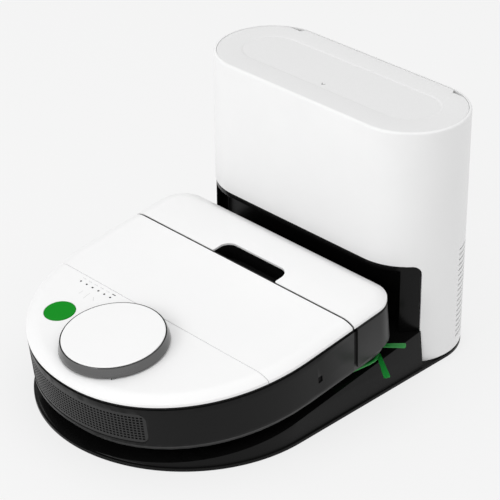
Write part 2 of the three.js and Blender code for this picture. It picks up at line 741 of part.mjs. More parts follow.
function chassisPan() {
  const noseInset = bandWall + bumperTravel + 0.9;
  const rim = bandWall + 0.4;
  let pan = keelPlate(robotPlan(rim, noseInset), 0, panTop, 7, 9, 2)
    .subtract(keelPlate(robotPlan(rim + panWall, noseInset + panWall), panWall, panTop + 8, 6, 8, 2))
    .subtract(box(brushLeft - 3, brushRight + 3, brushY - 20, brushY + 20, -1, panTop));
  for (const side of [-1, 1]) {
    const x = side * contactX;
    pan = pan
      .subtract(wheelHole(side))
      .add(box(x - 8, x + 8, contactY - 7, contactY + 7, padFace + 1, panWall))
      .subtract(box(x - 6 - gap, x + 6 + gap, contactY - 5 - gap, contactY + 5 + gap, padFace, padFace + 3));
    for (const x0 of [armInner - 5, armInner + armThickness + gap]) {
      const xs = [side * x0, side * (x0 + 5 - gap)].sort((a, b) => a - b);
      pan = pan.add(box(xs[0], xs[1], pivotY - 6, pivotY + 6, 1, pivotZ + 6))
        .subtract(rod(xs[0] - 1, xs[1] + 1, pivotY, pivotZ, pinRadius + gap, 16));
    }
  }
  const bearing = box(brushRight + 3.5, brushRight + 12, brushY - 8, brushY + 8, 1, brushZ + 12)
    .subtract(rod(brushRight, brushRight + 10, brushY, brushZ, 3 + gap, 16));
  const socket = post(0, casterY, casterBay + 2.4, 0, panTop - 1)
    .subtract(post(0, casterY, casterBay, -1, panTop - 3.5));
  return pan
    .add(bearing)
    .subtract(post(0, casterY, casterBay + 1, -1, panWall + 1))
    .add(socket)
    .subtract(post(0, casterY, 5 + gap, 0, panTop + 1, 20))
    .subtract(post(sideBrushX, sideBrushY, 7, -1, panWall + 1, 20));
}

piece(robot, "chassis_pan", chassisPan(), black);
piece(robot, "side_band", sideBand(), charcoal);
piece(robot, "bumper", bumper(), charcoal);
piece(robot, "exhaust_grille",
  plate(robotPlan(0.6), bandFoot, bandTop)
    .subtract(bandShape(0, reach, bandWall))
    .intersect(grilleTool(gap)), charcoal);
piece(robot, "side_window", sideWindow(0, robotWidth / 2 - 3.4, robotWidth / 2 - 0.5), smoke);
for (const side of [-1, 1]) {
  const x = side * contactX;
  piece(robot, side < 0 ? "charge_pad_left" : "charge_pad_right",
    box(x - 6, x + 6, contactY - 5, contactY + 5, padFace, padFace + 2.6), brassy);
}

// ---- Robot: covers, turret, button and lights ----
// The robot's plan with a round shoulder, which meets the upright edge at an angle.
function shouldered(inset, z0, top) {
  const r = shoulderRadius;
  return easedPlate(robotPlan(inset - r + shoulderRun), top - 2 * r, top, r, r, 9)
    .intersect(plate(robotPlan(inset), z0, top));
}

function coverBlank() {
  return shouldered(0, coverFoot, coverTop)
    .subtract(shouldered(bandWall, 0, coverTop - coverWall));
}

function ledTool(radius, z0, z1) {
  return Array.from({ length: ledCount }, (_, i) => post(ledFirstX + i * ledPitch, ledY, radius, z0, z1, 8))
    .reduce((all, pin) => all.add(pin));
}

const turretPost = (radius, z0, z1) => post(0, turretY, radius, z0, z1, 40);
const buttonPost = (radius, z0, z1) => post(buttonX, buttonY, radius, z0, z1, 28);
const coverSlice = (y0, y1) => coverBlank().intersect(box(-reach, reach, y0, y1, 0, reach));

piece(robot, "top_cover",
  coverSlice(rearSeam + rearSeamWidth / 2, lidSeam - lidSeamWidth / 2), white);
piece(robot, "rear_cover",
  coverSlice(-reach, rearSeam - rearSeamWidth / 2)
    .subtract(turretPost(turretRadius - 2, 0, reach))
    .subtract(buttonPost(buttonRadius + gap, 0, reach))
    .subtract(ledTool(ledRadius + gap, 0, reach)), white);

// The space that a wheel needs above its axle.
function wheelWell(side) {
  const xs = [side * (wheelInner - 2), side * (wheelInner + wheelWidth + 2)].sort((a, b) => a - b);
  return rod(xs[0], xs[1], wheelY, axleZ, wheelRadius + 2, 28);
}

const deckTop = lipTop - 0.7;
piece(robot, "deck_plate",
  plate(robotPlan(bandWall + 0.8), deckTop - 2.4, deckTop)
    .intersect(box(-reach, reach, -reach, lidSeam - 3.6, 0, reach))
    .add(turretPost(turretRadius - 3, deckTop - 1, coverTop + 1))
    .subtract(turretPost(rotorRadius + 3, 0, reach))
    .subtract(buttonPost(3, 0, reach))
    .subtract(wheelWell(-1))
    .subtract(wheelWell(1)), black);

// The turret's side band is turned: it carries the cap in a rebate at its upper edge.
function turretBand() {
  const r = turretRadius;
  const [low, high] = [coverTop + 1.3, turretTop - 0.6];
  const profile = [
    [r - 7, low], [r - 0.9, low], [r, low + 1.8], [r, high - 0.8], [r - 0.6, high],
    [r - 1.1, high], [r - 1.1, high - 2], [r - 7, high - 2], [r - 7, low],
  ].map(([x, z]) => new THREE.Vector2(x, z));
  return solid(new THREE.LatheGeometry(profile, 40).rotateX(Math.PI / 2).translate(0, turretY, 0));
}

function turretCap() {
  const r = turretRadius - 1.1 - gap;
  const low = turretTop - 2.6 + gap;
  const profile = [[0, low], [r, low], [r, turretTop - 0.7], [r - 0.7, turretTop], [0, turretTop]]
    .map(([x, z]) => new THREE.Vector2(x, z));
  return solid(new THREE.LatheGeometry(profile, 40).rotateX(Math.PI / 2).translate(0, turretY, 0));
}

piece(robot, "turret_band", turretBand(), chrome);
piece(robot, "turret_cap", turretCap(), white);
piece(robot, "lidar_rotor",
  turretPost(rotorRadius, boardTop + 2.4, turretTop - 5)
    .subtract(box(-8, 8, turretY, turretY + 60, coverTop + 2, turretTop - 7)), smoke);
piece(robot, "power_button",
  buttonPost(buttonRadius, coverTop - 3.4, coverTop + 0.5)
    .add(post(buttonX, buttonY, 5, deckTop + 1.8, coverTop - 3, 20)), green);
piece(robot, "light_guide",
  box(ledFirstX - 3, ledFirstX + (ledCount - 1) * ledPitch + 3, ledY - 2, ledY + 2,
    deckTop + 2, coverTop - coverWall - 0.4)
    .add(ledTool(ledRadius, deckTop + 3, coverTop)), smoke);

// ---- Robot: dust bin ----
function notchTool(grow, z0, z1) {
  const shape = roundedBox(notchWidth + 2 * grow, 2 * (notchDepth + grow), notchCorner + grow,
    notchX, lidSeam + lidSeamWidth / 2, smallSteps + 1);
  return plate(shape, z0, z1);
}

const binRear = lidSeam + lidSeamWidth / 2 + 0.4;
const binFront = noseReach - bandWall - bumperTravel - 1.8;
const binTop = coverTop - coverWall - 0.4;

function binTub() {
  const outline = (inset) => roundedBox(binRight - binLeft - 2 * inset, binFront - binRear - 2 * inset,
    10 - inset, (binLeft + binRight) / 2, (binRear + binFront) / 2);
  const outer = plate(outline(0), binFloor, binTop);
  return outer
    .subtract(plate(outline(binWall), binFloor + binWall, reach))
    .add(notchTool(binWall, binTop - 20, binTop).intersect(outer))
    .subtract(notchTool(0, binTop - 18, reach))
    .intersect(shouldered(bandWall + gap, 0, binTop));
}

piece(robot, "bin_tub", binTub(), black);
piece(robot, "bin_lid",
  coverSlice(lidSeam + lidSeamWidth / 2, reach).subtract(notchTool(0, 0, reach)), white);
piece(robot, "bin_filter",
  box(filterLeft, binRight - filterGap + 0.2, binRear + binWall + 1, binRear + binWall + 13,
    binFloor + binWall + 1, binTop - 6), filterBlue);

// ---- Robot: main brush ----
function mainBrush() {
  const points = Array.from({ length: brushVanes * 4 }, (_, i) => {
    const a = (2 * Math.PI * i) / (brushVanes * 4);
    const r = i % 4 < 2 ? brushRadius : brushRadius - 6;
    return new THREE.Vector2(brushY + r * Math.cos(a), brushZ + r * Math.sin(a));
  });
  return barX(new THREE.Shape(points), brushLeft, brushRight)
    .add(rod(brushLeft - 9, brushRight + 9, brushY, brushZ, 3, 16));
}

piece(robot, "main_brush", mainBrush(), rubber);
piece(robot, "brush_guard",
  box(brushLeft - 9, sideBrushX - sideBrushReach - 1, brushY - 24, brushY + 23, -1.8, -gap)
    .subtract(box(brushLeft - 2, brushRight + 0.5, brushY - 18.5, brushY + 18.5, -9, 9)), black);
piece(robot, "brush_drive",
  box(brushLeft - 18, brushLeft - 6, brushY - 46, brushY + 10, panWall + 1, binFloor - 2)
    .add(rod(brushLeft - 7, brushLeft + 26, brushY - 46, 17, 11))
    .subtract(rod(brushLeft - 12, brushLeft, brushY, brushZ, 3 + gap, 16)), charcoal);

// ---- Robot: side brush ----
function tuftRing() {
  let ring = post(sideBrushX, sideBrushY, tuftRoot + 1.5, tuftLow, tuftLow + tuftThickness)
    .subtract(post(sideBrushX, sideBrushY, tuftRoot - 2, tuftLow - 1, tuftLow + 3));
  for (let i = 0; i < tuftCount; i++) {
    // A tuft is tangent to its root circle and widens towards its tip.
    const length = Math.sqrt(sideBrushReach ** 2 - tuftRoot ** 2) - 0.8;
    const shape = new THREE.Shape([
      new THREE.Vector2(0, -2), new THREE.Vector2(length, -3.6),
      new THREE.Vector2(length, 3.4), new THREE.Vector2(0, 2),
    ]);
    const g = new THREE.ExtrudeGeometry(shape, { depth: tuftThickness, bevelEnabled: false });
    g.rotateZ(-Math.PI / 2).translate(tuftRoot, 0, tuftLow);
    g.rotateZ(THREE.MathUtils.degToRad(tuftPhase) + (2 * Math.PI * i) / tuftCount);
    ring = ring.add(solid(g.translate(sideBrushX, sideBrushY, 0)));
  }
  return ring;
}

piece(robot, "side_brush_tufts", tuftRing(), green);
piece(robot, "side_brush_hub",
  post(sideBrushX, sideBrushY, tuftRoot - 2 - gap, tuftLow - 1, tuftLow + tuftThickness)
    .add(post(sideBrushX, sideBrushY, 4, tuftLow, sideMotorFloor + 10, 20)), black);
piece(robot, "side_brush_motor",
  box(sideBrushX - 20, sideBrushX + 12, sideBrushY - 17, sideBrushY + 11, sideMotorFloor, binFloor - 3)
    .subtract(post(sideBrushX, sideBrushY, 4 + gap, 0, sideMotorFloor + 11, 20)), charcoal);

// ---- Robot: drive wheels ----
function wheelArm(side) {
  const shape = new THREE.Shape([
    ...arc(pivotY, pivotZ, 7, -80, 100, 8),
    ...arc(wheelY, axleZ, 10, 100, 280, 8),
  ]);
  const span = (from, to) => [side * from, side * to].sort((a, b) => a - b);
  const [a0, a1] = span(armInner, armInner + armThickness);
  const [m0, m1] = span(armInner - motorReach, armInner + 1);
  const [s0, s1] = span(armInner + 1, wheelInner + wheelWidth - 3);
  const [p0, p1] = span(armInner - 4, armInner + armThickness + 4);
  return barX(shape, a0, a1)
    .add(rod(m0, m1, wheelY, axleZ + 2, 13))
    .add(rod(s0, s1, wheelY, axleZ, 4, 16))
    .add(rod(p0, p1, pivotY, pivotZ, pinRadius, 16));
}

for (const side of [-1, 1]) {
  const hand = side < 0 ? "left" : "right";
  const [x0, x1] = [side * wheelInner, side * (wheelInner + wheelWidth)].sort((a, b) => a - b);
  const hubRadius = wheelRadius - tyreThickness;
  piece(robot, "wheel_arm_" + hand, wheelArm(side), charcoal);
  piece(robot, "wheel_hub_" + hand,
    rod(x0 + 0.5, x1 - 0.5, wheelY, axleZ, hubRadius, 28)
      .subtract(rod(x0 - 1, x1 + 1, wheelY, axleZ, 4 + gap, 20)), black);
  piece(robot, "tyre_" + hand,
    rod(x0, x1, wheelY, axleZ, wheelRadius, 28)
      .subtract(rod(x0 - 1, x1 + 1, wheelY, axleZ, hubRadius + gap, 28)), rubber);
}

// ---- Robot: caster ----
const casterAxleZ = wheelPlane + casterRadius + gap;
const casterAxleY = casterY - casterTrail;

function casterFork() {
  let fork = post(0, casterY, casterBay - 1.2, casterAxleZ + casterRadius + 0.5, panTop - 3.9)
    .add(post(0, casterY, 5, panTop - 5, panTop + 10, 20))
    .add(post(0, casterY, 8, panTop - 0.6, panTop + 2, 20));
  for (const x of [-9, 6.6])
    fork = fork.add(box(x, x + 2.4, casterAxleY - 4, casterAxleY + 4, casterAxleZ - 4, panTop - 4.4));
  return fork.add(rod(-8, 8, casterAxleY, casterAxleZ, 1.5, 12));
}

piece(robot, "caster_fork", casterFork(), charcoal);
piece(robot, "caster_wheel",
  rod(-6, 6, casterAxleY, casterAxleZ, casterRadius, 24)
    .subtract(rod(-7, 7, casterAxleY, casterAxleZ, 1.5 + gap, 12)), rubber);

// ---- Robot: battery, board and suction fan ----
piece(robot, "battery_pack", box(-batteryHalf, batteryHalf, -95, -6, panWall + 1.5, 38), filterBlue);
piece(robot, "main_board",
  box(-boardHalf, boardHalf, -80, 2, boardTop - 5, boardTop - 3.4)
    .add(box(-30, 0, -50, -20, boardTop - 4, boardTop))
    .add(box(20, 44, -60, -40, boardTop - 4, boardTop - 1)), boardGreen);
piece(robot, "suction_fan_housing",
  fanCup(0, 35, 27, panWall + 1.5, 46, 2)
    .add(post(0, 35, 14, panWall + 3, 24))
    .add(post(0, 35, 2, 23, 42, 12)), charcoal);
piece(robot, "suction_impeller", impeller(0, 35, 23, 27, 40, 2 + gap, 8), black);

export default machine;
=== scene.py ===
import json
import math

import bmesh
import bpy
from mathutils import Matrix, Vector, noise


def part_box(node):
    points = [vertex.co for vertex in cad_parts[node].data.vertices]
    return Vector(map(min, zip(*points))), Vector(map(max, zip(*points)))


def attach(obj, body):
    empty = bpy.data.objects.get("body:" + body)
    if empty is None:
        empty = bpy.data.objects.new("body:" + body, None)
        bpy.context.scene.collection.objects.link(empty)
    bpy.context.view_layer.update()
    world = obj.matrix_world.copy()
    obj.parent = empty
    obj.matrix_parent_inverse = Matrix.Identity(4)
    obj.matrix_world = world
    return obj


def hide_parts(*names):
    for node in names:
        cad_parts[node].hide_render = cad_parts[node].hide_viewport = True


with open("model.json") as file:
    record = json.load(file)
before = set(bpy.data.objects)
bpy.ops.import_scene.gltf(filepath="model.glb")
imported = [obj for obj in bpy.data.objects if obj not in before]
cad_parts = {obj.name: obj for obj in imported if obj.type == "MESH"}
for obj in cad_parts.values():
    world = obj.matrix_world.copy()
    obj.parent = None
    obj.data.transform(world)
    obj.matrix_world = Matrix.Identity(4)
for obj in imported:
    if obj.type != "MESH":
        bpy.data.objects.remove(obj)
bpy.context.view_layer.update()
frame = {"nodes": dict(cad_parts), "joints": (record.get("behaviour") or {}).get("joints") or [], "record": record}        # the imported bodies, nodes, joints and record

MM = 0.001  # shapes are made in millimetres and scaled once, at the end
GAP = 0.3  # clearance between neighbouring mouldings
FINE = 96  # sides of a large round
MEDIUM = 48
SMALL = 24
X, Y, Z = (Vector(row) for row in ((1, 0, 0), (0, 1, 0), (0, 0, 1)))

# ---- Places, from the frame ----


def span(node):
    """A node's lowest and highest corners, in millimetres."""
    low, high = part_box(node)
    return low / MM, high / MM


JOINTS = {joint["name"]: joint for joint in frame["joints"]}

tower_low, tower_high = span("tower_shell")
TOWER_HALF = tower_high.x
TOWER_DEPTH = tower_high.y - tower_low.y
TOWER_Y = (tower_high.y + tower_low.y) / 2
TOWER_TOP = tower_high.z
SHELL_FOOT = tower_low.z
TOWER_R = TOWER_DEPTH / 2
TOWER_STRAIGHT = TOWER_HALF - TOWER_R
SHELL_WALL = 3.2
SHELL_CHAMFER = 2.4

tray_low = span("ramp_tray")[0]

scan_axis = Vector(JOINTS["lidar_spin"]["axis"])
TILT = math.atan2(-scan_axis.y, scan_axis.z)
TURRET_Y = -115.7  # in the robot's own frame, as all sizes below
TURRET_PIVOT_Z = 60
ROLL = Matrix.Rotation(TILT, 4, "X")
scan_place = Vector(JOINTS["lidar_spin"]["pos_m"]) / MM
ROBOT = Matrix.Translation(scan_place - ROLL @ Vector((0, TURRET_Y, TURRET_PIVOT_Z))) @ ROLL
DOCK = Matrix.Identity(4)
TOWER = Matrix.Translation((0, TOWER_Y, 0))
SIDES = ((-1, "left"), (1, "right"))

# ---- Sizes of the robot ----

HALF_WIDTH = 170
NOSE = 136.9
NOSE_CORNER = 32
TAIL = 186.4
TAIL_POWER = 2.12
GROUND = -11.2  # the ramp's surface, below the robot's datum
BAND_FOOT = 10.4
BAND_TOP = 57.6
LIP_TOP = 60.9
LIP_INSET = 1.2
BAND_WALL = 2.6
COVER_FOOT = 61.3
COVER_TOP = 69.7
COVER_WALL = 2.4
SHOULDER_RUN = 16
SHOULDER_RADIUS = 27
LID_SEAM = 65.6
LID_SEAM_WIDTH = 2.4
REAR_SEAM = -53.3
REAR_SEAM_WIDTH = 0.4
GROOVE = 5.9
GROOVE_LEAN = math.radians(5)
BUMPER_NOSE_FOOT = 15
GRILLE_HALF = 93
GRILLE_LOW = 14
GRILLE_HIGH = 51
GRILLE_CORNER = 9
TURRET_R = 56.6
TURRET_TOP = 82.8
BUTTON = (-91, -114.3)
BUTTON_R = 17.3
LED_FIRST = -114.6
LED_PITCH = 9.66
LED_COUNT = 6
LED_Y = -64
LED_R = 1.05
LABEL_Y = -58.5
NOTCH_X = 5.6
NOTCH_WIDTH = 96
NOTCH_DEPTH = 23
NOTCH_CORNER = 13
NOTCH_FILLET = 1.8


# ---- Shaders ----


class Value:
    """A node's output, on which arithmetic adds Math nodes."""

    def __init__(self, paint, socket):
        self.paint = paint
        self.socket = socket

    def math(self, operation, *inputs):
        return self.paint.add("ShaderNodeMath", {"operation": operation}, dict(enumerate(inputs)))

    def __add__(self, other):
        return self.math("ADD", self, other)

    def __sub__(self, other):
        return self.math("SUBTRACT", self, other)

    def __mul__(self, other):
        return self.math("MULTIPLY", self, other)

    def __radd__(self, other):
        return self.math("ADD", other, self)

    def __gt__(self, other):
        return self.math("GREATER_THAN", self, other)

    def __lt__(self, other):
        return self.math("LESS_THAN", self, other)


class Paint:
    """A material's node tree."""

    def __init__(self, name):
        self.material = bpy.data.materials.new(name)
        self.material.use_nodes = True
        self.tree = self.material.node_tree
        self.shader = self.tree.nodes["Principled BSDF"]

    def add(self, kind, settings=None, inputs=None, output=0):
        node = self.tree.nodes.new(kind)
        for name, value in (settings or {}).items():
            setattr(node, name, value)
        for name, value in (inputs or {}).items():
            self.join(node.inputs[name], value)
        return Value(self, node.outputs[output])

    def join(self, socket, value):
        if isinstance(value, Value):
            self.tree.links.new(value.socket, socket)
        else:
            socket.default_value = value

    def place(self, scale=1.0, centre=(0, 0, 0), turn=(0, 0, 0)):
        """Object coordinates, moved, turned and scaled."""
        where = self.add("ShaderNodeTexCoord", output="Object")
        sizes = (scale,) * 3 if isinstance(scale, (int, float)) else scale
        settings = {"vector_type": "TEXTURE"}
        moved = self.add(
            "ShaderNodeMapping", settings,
            {"Vector": where, "Location": centre, "Rotation": turn})
        return self.add("ShaderNodeMapping", {}, {"Vector": moved, "Scale": sizes})

    def noise(self, scale, detail=2.0, rough=0.5, at=None):
        inputs = {"Vector": at or self.place(), "Scale": scale, "Detail": detail,
                  "Roughness": rough}
        return self.add("ShaderNodeTexNoise", {}, inputs)

    def cells(self, scale, feature="F1"):
        inputs = {"Vector": self.place(), "Scale": scale}
        return self.add("ShaderNodeTexVoronoi", {"feature": feature}, inputs)

    def mix(self, factor, first, second):
        settings = {"data_type": "RGBA"}
        return self.add(
            "ShaderNodeMix", settings, {0: factor, 6: solid(first), 7: solid(second)}, output=2)

    def bump(self, height, distance):
        return self.add("ShaderNodeBump", {}, {"Height": height, "Distance": distance})

    def set(self, **values):
        for name, value in values.items():
            self.join(self.shader.inputs[name.replace("_", " ")], value)
        return self.material


def solid(colour):
    return colour if isinstance(colour, Value) else (*colour[:3], 1)


def grey(value):
    return (value, value, value)


def shade(colour, factor):
    return tuple(min(1, channel * factor) for channel in colour)


def moulded(name, colour, rough, grain, depth, coat=0.0, drift=0.03, shine=0.5):
    """Injection-moulded plastic: a fine grain, and slow drifts of tone and gloss."""
    paint = Paint(name)
    slow = paint.noise(14, 3)
    fine = paint.noise(grain, 3, 0.6)
    tone = paint.mix(slow, shade(colour, 1 - drift), shade(colour, 1 + drift))
    gloss = rough + (slow - 0.5) * 0.08 + (fine - 0.5) * 0.05
    normal = paint.bump(fine, depth * MM)
    return paint.set(
        Base_Color=tone, Roughness=gloss, Normal=normal, Coat_Weight=coat, Coat_Roughness=0.08,
        Specular_IOR_Level=shine)


def textured(name, colour, rough, grain, depth, shine=0.5):
    """Spark-eroded plastic: a pebbled grain that scatters highlights."""
    paint = Paint(name)
    pebbles = paint.cells(grain, "SMOOTH_F1")
    slow = paint.noise(10, 2)
    tone = paint.mix(pebbles, shade(colour, 0.93), shade(colour, 1.05))
    gloss = rough + (slow - 0.5) * 0.1
    return paint.set(
        Base_Color=tone, Roughness=gloss, Normal=paint.bump(pebbles, depth * MM),
        Specular_IOR_Level=shine)


def brushed(name, colour, rough, turn, centre):
    """Metal brushed round an axis: long scratches at right angles to it."""
    paint = Paint(name)
    at = paint.place((30, 30, 2600), centre, turn)
    lines = paint.noise(1.0, 4, 0.7, at)
    slow = paint.noise(40, 2)
    tone = paint.mix(lines, shade(colour, 0.82), shade(colour, 1.15))
    gloss = rough + (lines - 0.5) * 0.14 + (slow - 0.5) * 0.06
    normal = paint.bump(lines, 0.012 * MM)
    return paint.set(Base_Color=tone, Roughness=gloss, Metallic=1.0, Normal=normal)


def rubbery(name, colour, rough=0.72):
    """Rubber: a dull skin with a bloom and faint flow marks."""
    paint = Paint(name)
    bloom = paint.noise(35, 4, 0.6)
    fine = paint.noise(1400, 2)
    tone = paint.mix(bloom, shade(colour, 0.7), shade(colour, 1.6))
    gloss = rough + (bloom - 0.5) * 0.2
    return paint.set(
        Base_Color=tone, Roughness=gloss, Normal=paint.bump(fine, 0.03 * MM),
        Specular_IOR_Level=0.25)


def clear_smoke(name):
    paint = Paint(name)
    slow = paint.noise(60, 2)
    tone = paint.mix(slow, grey(0.008), grey(0.016))
    return paint.set(Base_Color=tone, Roughness=0.06, Coat_Weight=0.6, Coat_Roughness=0.03)


def bag_paper(name):
    """Non-woven bag paper: random fibres pressed with a fine grid of dots."""
    paint = Paint(name)
    fibres = paint.noise(420, 6, 0.75, paint.place((1, 1, 3)))
    dots = paint.cells(620)
    slow = paint.noise(18, 3)
    tone = paint.mix(fibres, (0.62, 0.58, 0.49), (0.86, 0.83, 0.76))
    height = fibres * 0.6 + (dots > 0.35) * 0.4
    gloss = 0.85 + (slow - 0.5) * 0.1
    return paint.set(
        Base_Color=tone, Roughness=gloss, Sheen_Weight=0.25, Normal=paint.bump(height, 0.12 * MM))


def card(name):
    paint = Paint(name)
    fibres = paint.noise(300, 5, 0.7, paint.place((1, 1, 4)))
    tone = paint.mix(fibres, (0.44, 0.33, 0.20), (0.66, 0.53, 0.36))
    return paint.set(Base_Color=tone, Roughness=0.85, Normal=paint.bump(fibres, 0.08 * MM))


def pleated(name):
    """Filter media in tight folds, with painted shade: pale on the folds' crests and dark in their
    hollows; a little dusty.
    """
    paint = Paint(name)
    folds = paint.add(
        "ShaderNodeTexWave", {"wave_type": "BANDS", "bands_direction": "Z"},
        {"Vector": paint.place(), "Scale": 60, "Distortion": 0.2, "Detail": 1.0})
    dust = paint.noise(120, 4)
    # painted shade: the colour darkens in the hollows of the folds
    fold_shade_tone = paint.mix(folds, (0.42, 0.50, 0.58), (0.78, 0.84, 0.88))
    tone = paint.mix(dust * 0.3, fold_shade_tone, (0.45, 0.42, 0.37))
    return paint.set(Base_Color=tone, Roughness=0.9, Normal=paint.bump(folds, 0.8 * MM))


def lacquered_board(name):
    """A circuit board: green lacquer over faint copper runs."""
    paint = Paint(name)
    runs = paint.cells(260, "DISTANCE_TO_EDGE")
    copper = runs < 0.06
    tone = paint.mix(copper, (0.010, 0.085, 0.035), (0.030, 0.16, 0.06))
    return paint.set(Base_Color=tone, Roughness=0.28, Normal=paint.bump(copper, 0.05 * MM))


def bristle(name):
    """Green nylon, streaked along each strand."""
    paint = Paint(name)
    streaks = paint.noise(900, 2)
    tone = paint.mix(streaks, (0.003, 0.19, 0.022), (0.010, 0.34, 0.045))
    return paint.set(Base_Color=tone, Roughness=0.42 + (streaks - 0.5) * 0.1)


robot_turn = (TILT, 0, 0)
turret_centre = tuple((ROBOT @ Vector((0, TURRET_Y, 0))) * MM)
FINISH = {
    "shell_white": moulded("shell_white", grey(0.86), 0.36, 1500, 0.02),
    "cover_white": moulded("cover_white", grey(0.88), 0.30, 1600, 0.015, coat=0.15, drift=0.012),
    "lid_white": textured("lid_white", grey(0.78), 0.55, 2200, 0.03),
    "dock_black": moulded("dock_black", grey(0.004), 0.24, 900, 0.012, drift=0.2, shine=0.14),
    "band_black": moulded("band_black", grey(0.006), 0.34, 1100, 0.012, drift=0.2, shine=0.14),
    "bumper_black": moulded("bumper_black", grey(0.016), 0.36, 1100, 0.012, drift=0.2, shine=0.34),
    "inner_charcoal": textured("inner_charcoal", grey(0.035), 0.5, 1500, 0.04),
    "grille_black": textured("grille_black", grey(0.014), 0.42, 1800, 0.02, shine=0.35),
    "turret_metal": brushed("turret_metal", grey(0.15), 0.15, robot_turn, turret_centre),
    "button_green": textured("button_green", (0.001, 0.25, 0.010), 0.55, 2000, 0.02, shine=0.1),
    "tuft_green": bristle("tuft_green"),
    "lens_smoke": clear_smoke("lens_smoke"),
    "rubber_black": rubbery("rubber_black", grey(0.012)),
    "tyre_rubber": rubbery("tyre_rubber", grey(0.022), 0.8),
    "contact_metal": brushed("contact_metal", (0.83, 0.62, 0.30), 0.22, robot_turn, (0, 0, 0)),
    "steel": brushed("steel", grey(0.56), 0.3, (0, 0, 0), (0, 0, 0)),
    "bag_paper": bag_paper("bag_paper"),
    "collar_card": card("collar_card"),
    "filter_media": pleated("filter_media"),
    "cell_blue": moulded("cell_blue", (0.02, 0.09, 0.24), 0.3, 500, 0.05, coat=0.3),
    "board_green": lacquered_board("board_green"),
}

PALE_INK = moulded("pale_ink", grey(0.62), 0.5, 2000, 0.005)
DARK_INK = moulded("dark_ink", grey(0.02), 0.5, 2000, 0.005)
DEEP_BLACK = moulded("deep_black", grey(0.002), 0.6, 1500, 0.005, shine=0.1)

SLOT_OF = {row["node"]: row["material_slot"] for row in frame["record"]["subparts"]}
BODY_OF = {
    node: body for body, nodes in frame["record"]["behaviour"]["bodies"].items() for node in nodes}
for node, solid_part in frame["nodes"].items():
    solid_part.data.materials.clear()
    solid_part.data.materials.append(FINISH[SLOT_OF[node]])


# ---- Shapes ----


def arc(x, y, radius, start, end, steps):
    """Points round an arc, from one angle in degrees to another."""
    turns = [math.radians(start + (end - start) * i / steps) for i in range(steps + 1)]
    return [(x + radius * math.cos(a), y + radius * math.sin(a)) for a in turns]


def stadium(inset, steps=MEDIUM):
    """The tower's plan, set in: two half circles joined by straights."""
    radius = TOWER_R - inset
    return (arc(TOWER_STRAIGHT, 0, radius, -90, 90, steps)
            + arc(-TOWER_STRAIGHT, 0, radius, 90, 270, steps))


def robot_plan():
    """The robot's plan: flat nose, straight sides and a superellipse for a tail."""
    corner = NOSE_CORNER
    power = 2 / TAIL_POWER
    points = arc(HALF_WIDTH - corner, NOSE - corner, corner, 0, 90, 16)
    points += arc(corner - HALF_WIDTH, NOSE - corner, corner, 90, 180, 16)
    for i in range(FINE + 1):
        a = math.pi * (1 + i / FINE)
        x = math.copysign(abs(math.cos(a)) ** power, math.cos(a))
        points.append((HALF_WIDTH * x, -TAIL * abs(math.sin(a)) ** power))
    return points


def tray_plan():
    points = arc(TOWER_STRAIGHT, TOWER_Y, TOWER_R, 0, 90, FINE // 2)
    points += arc(-TOWER_STRAIGHT, TOWER_Y, TOWER_R, 90, 180, FINE // 2)
    return points + arc(0, tray_low.y + TOWER_HALF, TOWER_HALF, 180, 360, FINE)


def face_of(shape, points, z=0.0):
    face = shape.faces.new([shape.verts.new((x, y, z)) for x, y in points])
    face.normal_update()
    return face


def verts_of(result):
    return [item for item in result["geom"] if isinstance(item, bmesh.types.BMVert)]


def faces_of(result):
    return [item for item in result["geom"] if isinstance(item, bmesh.types.BMFace)]


def shifted(shape, by, verts=None):
    bmesh.ops.translate(shape, vec=by, verts=verts or shape.verts)


def faced_out(shape):
    bmesh.ops.recalc_face_normals(shape, faces=shape.faces)


def drawn_up(shape, faces, by):
    """Extrudes faces by a vector and returns the new end faces."""
    result = bmesh.ops.extrude_face_region(shape, geom=list(faces))
    shifted(shape, by, verts_of(result))
    return faces_of(result)


def drawn_from(plan, z, height):
    """A solid with a flat plan, and its upper face."""
    shape = bmesh.new()
    top = drawn_up(shape, [face_of(shape, plan, z)], (0, 0, height))[0]
    faced_out(shape)
    return shape, top


def stepped(shape, face, steps):
    """Insets a face time and again; each step is a run inwards and a rise."""
    for run, rise in steps:
        bmesh.ops.inset_region(
            shape, faces=[face], thickness=run, depth=rise, use_even_offset=True,
            use_boundary=True)


def between(places):
    """The steps from each place to the next."""
    return [(b[0] - a[0], b[1] - a[1]) for a, b in zip(places, places[1:])]


def eased(shape, face, size):
    """Rounds a plate's upper edge with a quarter circle of insets."""
    turns = [math.pi / 2 * i / 3 for i in range(4)]
    round_over = [(size * (1 - math.cos(a)), size * math.sin(a)) for a in turns]
    stepped(shape, face, between(round_over) + [(0.8, 0)])


def softened(shape, edges, width, segments=3):
    return bmesh.ops.bevel(
        shape, geom=list(edges), offset=width, offset_type="OFFSET", affect="EDGES",
        segments=segments, profile=0.5, material=-1, clamp_overlap=True)


def sliced(shape, place, normal, faces=None, **clear):
    """Cuts a shape or some of its faces along a plane; outer is where the normal points."""
    items = shape.verts[:] + shape.edges[:] + shape.faces[:]
    if faces:
        items = list({v for f in faces for v in f.verts})
        items += list({e for f in faces for e in f.edges}) + faces
    bmesh.ops.bisect_plane(
        shape, geom=items, dist=1e-4, plane_co=place, plane_no=normal, **clear)


def cut(shape, axis, *places, **options):
    """Cuts square to an axis."""
    for place in places:
        sliced(shape, axis * place, axis, **options)


def capped(shape):
    """Closes the holes that a cut has left."""
    bmesh.ops.holes_fill(shape, edges=[e for e in shape.edges if e.is_boundary], sides=0)


def dropped(shape, faces):
    bmesh.ops.delete(shape, geom=[f for f in faces if f.is_valid], context="FACES")


def rounded_corners(shape, verts, size, steps):
    bmesh.ops.bevel(
        shape, geom=verts, offset=size, offset_type="OFFSET", affect="VERTICES",
        segments=steps, profile=0.5, material=-1, clamp_overlap=False)


